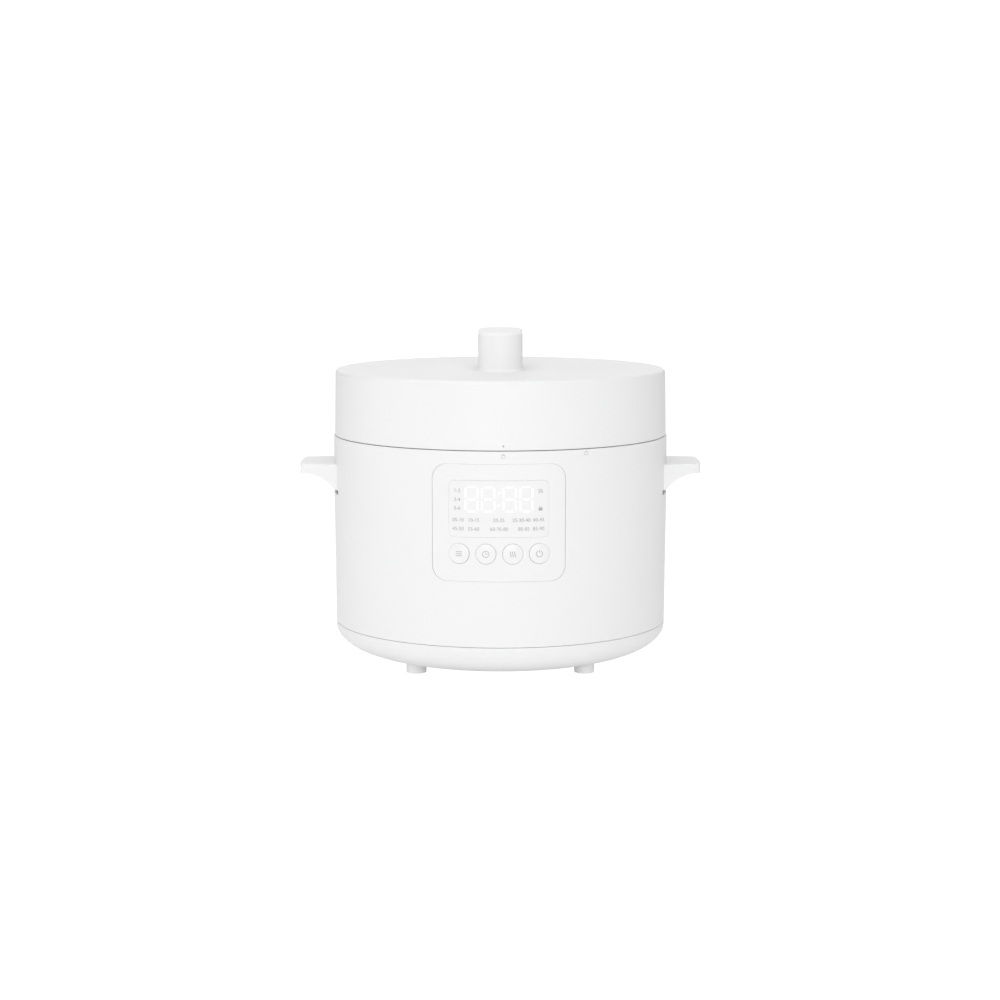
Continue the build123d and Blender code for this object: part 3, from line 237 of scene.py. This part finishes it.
taped, tree, shader, place = finish_of("winding_tape", (0.62, 0.42, 0.03), 0.45)
layers = tree.nodes.new("ShaderNodeTexWave")
layers.bands_direction = "Z"
layers.inputs["Scale"].default_value = 300
layers.inputs["Distortion"].default_value = 1.5
tree.links.new(place, layers.inputs["Vector"])
tape_tone = two_tone(tree, layers.outputs["Fac"], (0.55, 0.35, 0.02), (0.66, 0.46, 0.05))
tree.links.new(tape_tone, shader.inputs["Base Color"])
relief(tree, shader, layers.outputs["Fac"], 0.00004)
dress(taped, "transformer")

# ---- Mains inlet
# A black socket with three flat pins for a detachable lead, snapped into the shell at the back.
socket_black = moulded("socket_black", (0.02, 0.02, 0.022), 0.5, grain=0.0004, depth=0.00002)
dress(socket_black, "inlet_socket")
brass, tree, shader, place = finish_of("pin_brass", (0.6, 0.42, 0.16), 0.28, 1.0)
drawn = tree.nodes.new("ShaderNodeTexWave")
drawn.bands_direction = "X"
drawn.inputs["Scale"].default_value = 2000
drawn.inputs["Distortion"].default_value = 4
tree.links.new(place, drawn.inputs["Vector"])
tree.links.new(span(tree, drawn.outputs["Fac"], 0, 1, 0.22, 0.38), shader.inputs["Roughness"])
relief(tree, shader, drawn.outputs["Fac"], 0.000004)
dress(brass, "inlet_pins")


# ---- Well
# The deep steel outer pot, spun from sheet, with six bayonet lugs at its rim for the lid.
# The sensor cup in its floor is pressed from the same steel.
def spun_steel(name, colour, roughness, ring=0.0006, centre=(0, 0), depth=0.000006):
    """Steel turned or spun about a vertical line: fine rings round the middle and up the wall."""
    made, tree, shader, place = finish_of(name, colour, roughness, 1.0)
    about = tree.nodes.new("ShaderNodeMapping")
    about.inputs["Location"].default_value = (-centre[0], -centre[1], 0)
    tree.links.new(place, about.inputs["Vector"])
    parts = tree.nodes.new("ShaderNodeSeparateXYZ")
    tree.links.new(about.outputs["Vector"], parts.inputs[0])
    flat = tree.nodes.new("ShaderNodeCombineXYZ")
    tree.links.new(parts.outputs["X"], flat.inputs["X"])
    tree.links.new(parts.outputs["Y"], flat.inputs["Y"])
    reach = tree.nodes.new("ShaderNodeVectorMath")
    reach.operation = "LENGTH"
    tree.links.new(flat.outputs[0], reach.inputs[0])
    line = tree.nodes.new("ShaderNodeCombineXYZ")
    tree.links.new(reach.outputs["Value"], line.inputs["X"])
    tree.links.new(parts.outputs["Z"], line.inputs["Y"])
    rings = speckle(tree, line.outputs[0], ring, 4.0)
    stain = speckle(tree, place, 0.03, 3.0)
    tone = two_tone(tree, stain, [c * 0.92 for c in colour], colour)
    tree.links.new(tone, shader.inputs["Base Color"])
    sheen = span(tree, rings, 0.3, 0.7, roughness - 0.08, roughness + 0.08)
    tree.links.new(sheen, shader.inputs["Roughness"])
    relief(tree, shader, rings, depth)
    return made


dress(spun_steel("well_steel", (0.6, 0.6, 0.6), 0.34), "well", "sensor_cup")

# ---- Heating plate
# Cast aluminium with turned rings on top. The sheathed element is cast into its underside and its
# ends leave through ceramic bushes. Three posts and screws hold the plate to the well.
cast_aluminium = spun_steel("cast_aluminium", (0.58, 0.59, 0.6), 0.42, ring=0.0012, depth=0.00003)
dress(cast_aluminium, "heating_plate", "sensor_probe")

sheath, tree, shader, place = finish_of("element_sheath", (0.25, 0.22, 0.2), 0.45, 1.0)
heat = speckle(tree, place, 0.012, 4.0)
heat_tint = two_tone(tree, heat, (0.2, 0.16, 0.2), (0.36, 0.28, 0.18))
tree.links.new(heat_tint, shader.inputs["Base Color"])
relief(tree, shader, speckle(tree, place, 0.0005), 0.00001)
dress(sheath, "heating_element")

ceramic, tree, shader, place = finish_of("bush_ceramic", (0.78, 0.74, 0.64), 0.6)
pores = speckle(tree, place, 0.0007, 8.0)
clay_tone = two_tone(tree, pores, (0.72, 0.68, 0.57), (0.82, 0.78, 0.69))
tree.links.new(clay_tone, shader.inputs["Base Color"])
relief(tree, shader, pores, 0.00003)
dress(ceramic, "terminal_bushes")

turned_steel = spun_steel("turned_steel", (0.55, 0.55, 0.55), 0.28, ring=0.0004)
dress(turned_steel, "plate_posts")

spring_steel, tree, shader, place = finish_of("spring_wire", (0.42, 0.42, 0.43), 0.3, 1.0)
wire_marks = speckle(tree, place, 0.0002, 5.0)
tree.links.new(span(tree, wire_marks, 0.3, 0.7, 0.22, 0.4), shader.inputs["Roughness"])
relief(tree, shader, wire_marks, 0.000003)
dress(spring_steel, "sensor_spring")

# ---- Safety switches
# A thermal fuse in a fibreglass sleeve and a snap-action pressure switch, both under the well.
sleeving, tree, shader, place = finish_of("fibre_sleeve", (0.72, 0.67, 0.5), 0.85)
weave = tree.nodes.new("ShaderNodeTexChecker")
weave.inputs["Scale"].default_value = 1800
weave.inputs["Color1"].default_value = (0.76, 0.71, 0.55, 1)
weave.inputs["Color2"].default_value = (0.62, 0.56, 0.4, 1)
tree.links.new(place, weave.inputs["Vector"])
tree.links.new(weave.outputs["Color"], shader.inputs["Base Color"])
relief(tree, shader, weave.outputs["Fac"], 0.00008)
dress(sleeving, "thermal_fuse")
dress(moulded("switch_black", (0.025, 0.025, 0.025), 0.55, grain=0.0003, depth=0.00002),
      "pressure_switch", "key_switches")


# ---- Leads
# Silicone-insulated leads: brown and white from the inlet and to the heater, thin ones for signals.
def insulation(name, colour):
    """Extruded insulation: smooth, with faint lines along it."""
    made, tree, shader, place = finish_of(name, colour, 0.4)
    lines = speckle(tree, place, 0.0008, 2.0)
    tone = two_tone(tree, lines, [c * 0.85 for c in colour], colour)
    tree.links.new(tone, shader.inputs["Base Color"])
    relief(tree, shader, lines, 0.00001)
    return made


dress(insulation("lead_brown", (0.12, 0.045, 0.02)), "mains_leads")
dress(insulation("lead_white", (0.75, 0.75, 0.72)), "heater_leads", "sensor_lead")
dress(insulation("lead_grey", (0.16, 0.16, 0.17)), "control_lead")

# ---- Body
# One white moulding with a slight taper, openings for the panel and the inlet, and a grey collar
# inside its top that closes the gap to the well. The handles are screwed on from inside.
dress(white_plastic, "body_shell", "side_handle_left", "side_handle_right")
collar_grey = moulded("collar_grey", (0.72, 0.72, 0.715), 0.55, grain=0.0004, depth=0.00003)
dress(collar_grey, "top_collar", "board_carrier")

# ---- Control panel
# A curved white plate flush in the body, with a window for the display and four round key holes.
# Its edges and those of its holes are softly rounded. The carrier and the board are behind it.
mm = 0.001
body_r = 138.6 * mm
foot_r = 137.6 * mm
taper_low = 33.3 * mm
taper_high = 137.0 * mm
panel_x = -1.2 * mm
panel_z = 132.4 * mm
panel_w = 104.6 * mm
panel_h = 92.8 * mm
panel_corner = 11.9 * mm
panel_thick = 2.4 * mm
panel_edge = 0.35 * mm
window_x = -1.3 * mm
window_z = 143.6 * mm
window_w = 78.1 * mm
window_h = 44.7 * mm
window_corner = 4.0 * mm
window_gap = 0.03 * mm
key_xs = [x * mm for x in (-32.4, -11.4, 9.7, 30.6)]
key_z = 108.1 * mm
key_r = 8.1 * mm
key_gap = 0.07 * mm
strip = 2.2 * mm  # width of the upright facets on the curved parts


def wall_r(z):
    """Outside radius of the body at a height."""
    share = min(1.0, max(0.0, (z - taper_low) / (taper_high - taper_low)))
    return foot_r + share * (body_r - foot_r)


def on_wall(x, z, proud=0.0):
    """The point of the body's front at x and z, stood off by proud."""
    radius = wall_r(z)
    scale = (radius + proud) / radius
    return Vector((x * scale, -math.sqrt(radius * radius - x * x) * scale, z))


def rounded_outline(x, z, width, height, corner, steps=8):
    """Points round a rectangle with round corners."""
    points = []
    for turn, (side, up) in enumerate(((1, 1), (-1, 1), (-1, -1), (1, -1))):
        centre = (x + side * (width / 2 - corner), z + up * (height / 2 - corner))
        for step in range(steps + 1):
            angle = math.radians(90 * turn + 90 * step / steps)
            across, rise = corner * math.cos(angle), corner * math.sin(angle)
            points.append((centre[0] + across, centre[1] + rise))
    return points


def circle_outline(x, z, radius, steps=64):
    """Points round a circle."""
    turns = [2 * math.pi * step / steps for step in range(steps)]
    return [(x + radius * math.cos(turn), z + radius * math.sin(turn)) for turn in turns]


def settled(thing):
    """The mesh an object comes to once its curves are filled and its modifiers are done."""
    now = bpy.context.evaluated_depsgraph_get()
    return bpy.data.meshes.new_from_object(thing.evaluated_get(now))


def plate(name, outlines, thick, edge, edge_steps=3):
    """A flat plate from closed outlines, the later ones being holes, with rounded edges."""
    flat = bpy.data.curves.new(name, "CURVE")
    flat.dimensions = "2D"
    flat.fill_mode = "BOTH"
    flat.extrude = thick / 2 - edge
    flat.bevel_depth = edge
    flat.bevel_resolution = edge_steps
    flat.offset = -edge
    for outline in outlines:
        line = flat.splines.new("POLY")
        line.points.add(len(outline) - 1)
        for point, (x, z) in zip(line.points, outline):
            point.co = (x, z, 0, 1)
        line.use_cyclic_u = True
    maker = bpy.data.objects.new(name + "_flat", flat)
    bpy.context.scene.collection.objects.link(maker)
    mesh = settled(maker)
    bpy.data.objects.remove(maker)
    mesh.name = name
    return mesh


def curved(mesh, place, step=strip):
    """Cut a flat mesh into upright strips and lay it where place(x, z, out) says."""
    work = bmesh.new()
    work.from_mesh(mesh)
    bmesh.ops.remove_doubles(work, verts=work.verts, dist=1e-6)
    low = min(v.co.x for v in work.verts)
    high = max(v.co.x for v in work.verts)
    cut = (math.floor(low / step) + 1) * step
    while cut < high:
        everything = work.verts[:] + work.edges[:] + work.faces[:]
        bmesh.ops.bisect_plane(
            work, geom=everything, plane_co=(cut, 0, 0), plane_no=(1, 0, 0), dist=1e-7
        )
        cut += step
    for vertex in work.verts:
        vertex.co = place(vertex.co.x, vertex.co.y, vertex.co.z)
    bmesh.ops.recalc_face_normals(work, faces=work.faces)
    work.to_mesh(mesh)
    work.free()
    return mesh


def piece(name, mesh, finish, body, *replaced):
    """Turn a mesh into a smooth piece that rides on a body and stands for CAD nodes."""
    mesh.materials.clear()
    mesh.materials.append(finish)
    mesh.shade_smooth()
    mesh.set_sharp_from_angle(angle=math.radians(35))
    made = bpy.data.objects.new(name, mesh)
    bpy.context.scene.collection.objects.link(made)
    even = made.modifiers.new("even_shading", "WEIGHTED_NORMAL")
    even.keep_sharp = True
    shaded = settled(made)
    made.modifiers.remove(even)
    made.data = shaded
    shaded.name = name
    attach(made, body)
    if replaced:
        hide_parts(*replaced)
    return made


hole_w = window_w + 2 * window_gap
hole_h = window_h + 2 * window_gap
panel_holes = [rounded_outline(window_x, window_z, hole_w, hole_h, window_corner)]
panel_holes += [circle_outline(x, key_z, key_r + key_gap) for x in key_xs]
panel_plate = plate(
    "control_panel_plate",
    [rounded_outline(panel_x, panel_z, panel_w, panel_h, panel_corner)] + panel_holes,
    panel_thick,
    panel_edge,
)
curved(panel_plate, lambda x, z, out: on_wall(x, z, out - panel_thick / 2))
panel = piece("control_panel_plate", panel_plate, white_plastic, "housing", "control_panel")

# ---- Display
# A milky acrylic window set flush in the panel. Behind it the LED block lights four digits and a
# colon of rounded bars, bright enough to read through the white.
window_edge = 0.2 * mm
window_white = moulded(
    "window_white", (0.825, 0.825, 0.825), 0.36, grain=0.001, depth=0.000002, coat=0.15
)
window_plate = plate(
    "display_window_plate",
    [rounded_outline(window_x, window_z, window_w, window_h, window_corner)],
    panel_thick,
    window_edge,
)
curved(window_plate, lambda x, z, out: on_wall(x, z, out - panel_thick / 2))
window = piece("display_window_plate", window_plate, window_white, "housing", "display_window")
dress(moulded("display_black", (0.02, 0.02, 0.022), 0.5), "led_display")

lit, tree, shader, place = finish_of("lit_segment", (0.95, 0.95, 0.95), 0.4)
shader.inputs["Emission Color"].default_value = (1, 1, 1, 1)
glow = speckle(tree, place, 0.004, 1.0)
tree.links.new(span(tree, glow, 0.2, 0.8, 0.1, 0.14), shader.inputs["Emission Strength"])

digit_xs = [x * mm for x in (-22.5, -9.6, 7.3, 20.3)]
digit_z = 151.25 * mm
digit_w = 11.0 * mm
digit_h = 20.6 * mm
bar_w = 1.4 * mm
flat_bar = 6.4 * mm
tall_bar = 7.7 * mm
bar_corner = 0.42 * bar_w
bar_thick = 0.06 * mm
bar_strip = 1.1 * mm

bar_tree = bpy.data.node_groups.new("lit_bars", "GeometryNodeTree")
sockets = bar_tree.interface
sockets.new_socket("Places", in_out="INPUT", socket_type="NodeSocketGeometry")
bar_sizes = {
    size: sockets.new_socket(size, in_out="INPUT", socket_type="NodeSocketFloat")
    for size in ("Bar length", "Bar width", "Corner", "Thickness")
}
bar_finish = sockets.new_socket("Finish", in_out="INPUT", socket_type="NodeSocketMaterial")
sockets.new_socket("Bars", in_out="OUTPUT", socket_type="NodeSocketGeometry")
nodes = bar_tree.nodes
given = nodes.new("NodeGroupInput")
result = nodes.new("NodeGroupOutput")
outline = nodes.new("GeometryNodeCurvePrimitiveQuadrilateral")
round_off = nodes.new("GeometryNodeFilletCurve")
round_off.mode = "POLY"
round_off.inputs["Count"].default_value = 4
fill = nodes.new("GeometryNodeFillCurve")
fill.mode = "NGONS"
thicken = nodes.new("GeometryNodeExtrudeMesh")
thicken.inputs["Individual"].default_value = False
flip = nodes.new("GeometryNodeFlipFaces")
close = nodes.new("GeometryNodeJoinGeometry")
weld = nodes.new("GeometryNodeMergeByDistance")
weld.inputs["Distance"].default_value = 1e-6
turn = nodes.new("GeometryNodeInputNamedAttribute")
turn.data_type = "FLOAT"
turn.inputs["Name"].default_value = "turn"
spin = nodes.new("ShaderNodeCombineXYZ")
lay = nodes.new("GeometryNodeInstanceOnPoints")
real = nodes.new("GeometryNodeRealizeInstances")
coat = nodes.new("GeometryNodeSetMaterial")
wires = [
    (given, "Bar length", outline, "Width"),
    (given, "Bar width", outline, "Height"),
    (outline, "Curve", round_off, "Curve"),
    (given, "Corner", round_off, "Radius"),
    (round_off, "Curve", fill, "Curve"),
    (fill, "Mesh", thicken, "Mesh"),
    (given, "Thickness", thicken, "Offset Scale"),
    (fill, "Mesh", flip, "Mesh"),
    (thicken, "Mesh", close, "Geometry"),
    (flip, "Mesh", close, "Geometry"),
    (close, "Geometry", weld, "Geometry"),
    (given, "Places", lay, "Points"),
    (weld, "Geometry", lay, "Instance"),
    (turn, "Attribute", spin, "Z"),
    (spin, "Vector", lay, "Rotation"),
    (lay, "Instances", real, "Geometry"),
    (real, "Geometry", coat, "Geometry"),
    (given, "Finish", coat, "Material"),
    (coat, "Geometry", result, "Bars"),
]
for source, out_name, target, in_name in wires:
    bar_tree.links.new(source.outputs[out_name], target.inputs[in_name])


def laid_bars(name, places, length, width, corner, thick, finish):
    """Bars laid flat at places given as (x, z, turn)."""
    points = bpy.data.meshes.new(name)
    points.from_pydata([(x, z, 0) for x, z, _ in places], [], [])
    turns = points.attributes.new("turn", "FLOAT", "POINT")
    for row, (_, _, angle) in zip(turns.data, places):
        row.value = angle
    maker = bpy.data.objects.new(name + "_places", points)
    bpy.context.scene.collection.objects.link(maker)
    grown = maker.modifiers.new("bars", "NODES")
    grown.node_group = bar_tree
    for socket, value in zip(bar_sizes.values(), (length, width, corner, thick)):
        grown[socket.identifier] = value
    grown[bar_finish.identifier] = finish
    mesh = settled(maker)
    bpy.data.objects.remove(maker)
    return mesh


upright = math.pi / 2
bar_run = (digit_h - bar_w) / 2
side_run = (digit_w - bar_w) / 2
flat_places = [(x, digit_z + row * bar_run, 0.0) for x in digit_xs for row in (-1, 0, 1)]
tall_places = [(x + side * side_run, digit_z + row * bar_run / 2, upright)
               for x in digit_xs for side in (-1, 1) for row in (-1, 1)]
for name, places, length in (("display_flat_bars", flat_places, flat_bar),
                             ("display_tall_bars", tall_places, tall_bar)):
    bars = laid_bars(name, places, length, bar_w, bar_corner, bar_thick, lit)
    curved(bars, on_wall, bar_strip)
    digits = piece(name, bars, lit, "housing")

colon_x = -1.25 * mm
colon_zs = [z * mm for z in (156.3, 146.4)]
colon_r = 1.05 * mm
colon_edge = 0.01 * mm
colon_strip = 0.6 * mm
dot_outlines = [circle_outline(colon_x, z, colon_r, 20) for z in colon_zs]
colon_dots = plate("display_colon", dot_outlines, bar_thick, colon_edge, 1)
curved(colon_dots, lambda x, z, out: on_wall(x, z, out + bar_thick / 2), colon_strip)
colon = piece("display_colon", colon_dots, lit, "housing")

# ---- Printing
# Pale grey pad printing on the window and the keys. It is plain numbers for the programmes and
# pictures for the keys, each a film of ink a few hundredths of a millimetre thick.
ink = moulded("print_grey", (0.4, 0.4, 0.4), 0.6, grain=0.0002)
ink_thick = 0.03 * mm
ink_edge = 0.004 * mm
figure_share = 0.69  # how tall a figure is, as a share of its type size


def stroke(points, width):
    """The outline of a line of some width through points."""
    left, right = [], []
    for index, (x, z) in enumerate(points):
        before = points[max(index - 1, 0)]
        after = points[min(index + 1, len(points) - 1)]
        along = Vector((after[0] - before[0], after[1] - before[1])).normalized() * width / 2
        left.append((x - along.y, z + along.x))
        right.append((x + along.y, z - along.x))
    return left + right[::-1]


def arc(x, z, radius, start, end, steps=16):
    """Points along part of a circle, by angle in degrees."""
    angles = [math.radians(start + (end - start) * step / steps) for step in range(steps + 1)]
    return [(x + radius * math.cos(angle), z + radius * math.sin(angle)) for angle in angles]


def print_on(name, outlines, body, lift, finish=ink, step=1.0 * mm):
    """Ink outlines on the wall, each a separate closed film."""
    whole = bmesh.new()
    for outline in outlines:
        film = plate(name, [outline], ink_thick, ink_edge, 0)
        whole.from_mesh(film)
        bpy.data.meshes.remove(film)
    joined = bpy.data.meshes.new(name)
    whole.to_mesh(joined)
    whole.free()
    curved(joined, lambda x, z, out: lift(x, z, out + ink_thick / 2), step)
    made = piece(name, joined, finish, body)
    return made


def numbers_on(name, labels, height, lift, finish=ink):
    """Printed numbers, each given as (text, middle x, foot z)."""
    whole = bmesh.new()
    for text, x, z in labels:
        figures = bpy.data.curves.new(name, "FONT")
        figures.body = text
        figures.size = height / figure_share
        figures.align_x = "CENTER"
        figures.extrude = ink_thick / 2
        maker = bpy.data.objects.new(name + "_flat", figures)
        bpy.context.scene.collection.objects.link(maker)
        flat = settled(maker)
        bpy.data.objects.remove(maker)
        flat.transform(Matrix.Translation((x, z, 0)))
        whole.from_mesh(flat)
        bpy.data.meshes.remove(flat)
    joined = bpy.data.meshes.new(name)
    whole.to_mesh(joined)
    whole.free()
    curved(joined, lambda x, z, out: lift(x, z, out + ink_thick / 2), 1.0 * mm)
    made = piece(name, joined, finish, "housing")
    return made


number_rows = {
    133.6: {"05-10": -33.1, "10-15": -20.9, "20-25": -1.2, "25-30-40": 16.4, "40-45": 29.9},
    126.6: {"45-50": -33.1, "55-60": -20.9, "60-70-80": -1.0, "80-85": 18.4, "85-90": 29.9},
    156.7: {"1-2": -33.8},
    149.6: {"3-4": -33.8},
    142.8: {"5-6": -33.8},
}
number_h = 2.7 * mm
programmes = [
    (text, x * mm, z * mm) for z, row in number_rows.items() for text, x in row.items()
]
numbers_on("programme_numbers", programmes, number_h, on_wall)

def wave(x, low, sway, rise, width):
    """A wavy upright line, as for heat, from low upwards in eight steps."""
    line = [(x + sway * math.sin(step * math.pi / 4), low + step * rise) for step in range(9)]
    return stroke(line, width)


lamp_x = 31.4 * mm
heat_low = 156.0 * mm
heat_signs = [
    wave(lamp_x + side * mm, heat_low, 0.35 * mm, 0.4 * mm, 0.45 * mm) for side in (-1.2, 0, 1.2)
]
lock_low, lock_high, lock_half = 142.2 * mm, 144.2 * mm, 1.5 * mm
lock_case = [(lamp_x - lock_half, lock_low), (lamp_x + lock_half, lock_low),
             (lamp_x + lock_half, lock_high), (lamp_x - lock_half, lock_high)]
lock_shackle = stroke(arc(lamp_x, lock_high, 1.0 * mm, 0, 180), 0.4 * mm)
print_on("lamp_signs", heat_signs + [lock_case, lock_shackle], "housing", on_wall)

# ---- Keys
# Four round caps with a low dome and a soft rim, a little proud of the panel. A flange behind the
# panel keeps each one in, and a stem presses its switch.
key_proud = 0.35 * mm
key_dome = 0.7 * mm
key_edge = 1.0 * mm
key_flange = [(radius * mm, y * mm) for radius, y in (
    (8.1, -126.8), (9.2, -126.8), (9.2, -125.6), (6.6, -125.6),
    (6.6, -131.2), (2.2, -131.2), (2.2, -127.0),
)]
key_white = moulded("key_white", (0.83, 0.83, 0.83), 0.36, coat=0.2)


def key_top(x, z, out=0.0, middle=0.0):
    """A point of a key's crowned face, out from the wall, for the key at a middle x."""
    reach = math.hypot(x - middle, z - key_z) / (key_r - key_edge)
    crown = key_dome * max(0.0, 1 - reach * reach)
    point = on_wall(x, z)
    return Vector((point.x, point.y - key_proud - crown - out, point.z))


def key_cap(name, middle, steps=72):
    """Rings from the middle of the crowned face round the rim and back into the hollow."""
    face_r = key_r - key_edge
    rings = [(face_r * share, 0.0, None) for share in (0.15, 0.3, 0.45, 0.6, 0.75, 0.88, 1.0)]
    for step in range(1, 6):
        angle = math.radians(90 * step / 5)
        fall = key_edge * (1 - math.cos(angle))
        rings.append((face_r + key_edge * math.sin(angle), -fall, None))
    rings += [(radius, 0.0, y) for radius, y in key_flange]
    made = bmesh.new()
    first = made.verts.new(key_top(middle, key_z, 0.0, middle))
    loops = []
    for radius, back, fixed in rings:
        loop = []
        for step in range(steps):
            turn = 2 * math.pi * step / steps
            x = middle + radius * math.cos(turn)
            z = key_z + radius * math.sin(turn)
            spot = key_top(x, z, back, middle) if fixed is None else Vector((x, fixed, z))
            loop.append(made.verts.new(spot))
        loops.append(loop)
    for step in range(steps):
        after = (step + 1) % steps
        made.faces.new((first, loops[0][step], loops[0][after]))
        for inner, outer in zip(loops, loops[1:]):
            made.faces.new((inner[step], outer[step], outer[after], inner[after]))
    last = made.verts.new((middle, rings[-1][2], key_z))
    for step in range(steps):
        made.faces.new((loops[-1][step], last, loops[-1][(step + 1) % steps]))
    bmesh.ops.recalc_face_normals(made, faces=made.faces)
    mesh = bpy.data.meshes.new(name)
    made.to_mesh(mesh)
    made.free()
    return mesh


def list_sign(x, z):
    """Three level lines."""
    half = 2.3 * mm
    rows = [z + row * mm for row in (-1.6, 0, 1.6)]
    return [stroke([(x - half, row), (x + half, row)], 0.5 * mm) for row in rows]


def clock_sign(x, z):
    """A ring with two hands."""
    hands = [(x, z + 1.5 * mm), (x, z), (x + 1.2 * mm, z)]
    lines = (arc(x, z, 2.5 * mm, 0, 358, 40), hands[:2], hands[1:])
    return [stroke(line, 0.45 * mm) for line in lines]


def warmth_sign(x, z):
    """Three rising waves."""
    low = z - 2.2 * mm
    return [wave(x + side * mm, low, 0.45 * mm, 0.55 * mm, 0.5 * mm) for side in (-1.7, 0, 1.7)]


def start_sign(x, z):
    """An open ring with a short upright line in its gap."""
    lines = (arc(x, z, 2.4 * mm, 118, 422, 36), [(x, z + 0.8 * mm), (x, z + 3.0 * mm)])
    return [stroke(line, 0.5 * mm) for line in lines]


key_signs = {
    "menu_button": list_sign,
    "time_button": clock_sign,
    "keep_warm_button": warmth_sign,
    "start_button": start_sign,
}
sign_strip = 0.7 * mm
for (key_body, sign), key_x in zip(key_signs.items(), key_xs):
    cap_name = key_body + "_cap"
    cap = piece(cap_name, key_cap(cap_name, key_x), key_white, key_body, key_body)
    print_on(key_body + "_sign", sign(key_x, key_z), key_body,
             lambda x, z, out, middle=key_x: key_top(x, z, out, middle), ink, sign_strip)

# ---- Inner pot
# A deep-drawn steel pot with a rolled rim and rounded corners, spun smooth inside.
dress(spun_steel("pot_steel", (0.7, 0.7, 0.69), 0.24, ring=0.0008), "inner_pot")

# ---- Liner
# An aluminium plate under the lid that carries the milky silicone sealing ring. It pushes onto the
# lid's centre stud with a rubber grommet.
dress(spun_steel("liner_aluminium", (0.72, 0.72, 0.72), 0.36), "liner_plate")
silicone, tree, shader, place = finish_of("milky_silicone", (0.74, 0.74, 0.72), 0.5)
cloud = speckle(tree, place, 0.006, 3.0)
milky_tone = two_tone(tree, cloud, (0.7, 0.7, 0.68), (0.78, 0.78, 0.765))
tree.links.new(milky_tone, shader.inputs["Base Color"])
shader.inputs["Subsurface Weight"].default_value = 0.15
shader.inputs["Subsurface Radius"].default_value = (0.003, 0.003, 0.003)
relief(tree, shader, speckle(tree, place, 0.0005), 0.00001)
dress(silicone, "sealing_ring", "liner_grommet", "float_seal")

# ---- Lid
# A white cover screwed over a domed steel pressure lid, whose six lugs lock under the well's.
dress(white_plastic, "lid_cover")
# The knob is the cover's white plastic, painted a shade lighter: painted light that stands in for
# the light it catches.
grip_white_painted_lighter = moulded("grip_white_painted_lighter", (0.855, 0.855, 0.855), 0.5, coat=0.04)
dress(grip_white_painted_lighter, "lid_handle")
dress(spun_steel("lid_steel", (0.66, 0.66, 0.66), 0.3), "pressure_lid")
dress(turned_steel, "centre_stud")
dress(zinc, "lid_screws", "lid_handle_screws")

# ---- Lock marks
# A dark dot on the lid, and on the body a closed and an open padlock where the dot points when the
# lid is turned fully either way.
lid_low_r = 137.8 * mm
lid_low_z = 189.3 * mm
lid_rise = 54.2 * mm  # over which the lid narrows by lid_draft
lid_draft = 0.9 * mm
lid_dark = moulded("mark_dark", (0.45, 0.45, 0.45), 0.55, grain=0.0002)


def on_lid(x, z, proud=0.0):
    """The point of the lid's front at x and z, stood off by proud."""
    radius = lid_low_r - lid_draft * (z - lid_low_z) / lid_rise
    scale = (radius + proud) / radius
    return Vector((x * scale, -math.sqrt(radius * radius - x * x) * scale, z))


mark_x = 2.3 * mm
dot_outline = circle_outline(mark_x, 192.8 * mm, 0.8 * mm, 20)
print_on("lid_dot", [dot_outline], "lid", on_lid, lid_dark, 0.4 * mm)
mark_line = 0.5 * mm
mark_strip = 0.7 * mm


def padlock(x, z, opened):
    """A small padlock picture in outline, its shackle swung up when it is open."""
    side, low, high = 1.35 * mm, z - 1.5 * mm, z + 0.5 * mm
    right, left = x + side, x - side
    case = [(x, low), (right, low), (right, high), (left, high), (left, low), (x, low)]
    end = 130 if opened else 180
    return [stroke(line, mark_line) for line in (case, arc(x, high, 0.85 * mm, 0, end, 12))]


mark_pale = moulded("mark_pale", (0.56, 0.56, 0.56), 0.6, grain=0.0002)
lock_marks = padlock(mark_x, 185.3 * mm, False) + padlock(67.3 * mm, 186.0 * mm, True)
print_on("lock_marks", lock_marks, "housing", on_wall, mark_pale, mark_strip)

# ---- Steam release
# A weighted white valve that turns on a steel pipe through the lid, and a red float pin beside it
# that rises when the pot is under pressure.
dress(turned_steel, "steam_pipe", "pipe_nut")
dress(moulded("valve_white", (0.8, 0.8, 0.8), 0.4), "release_valve")
dress(moulded("float_red", (0.42, 0.02, 0.015), 0.35), "float_pin")
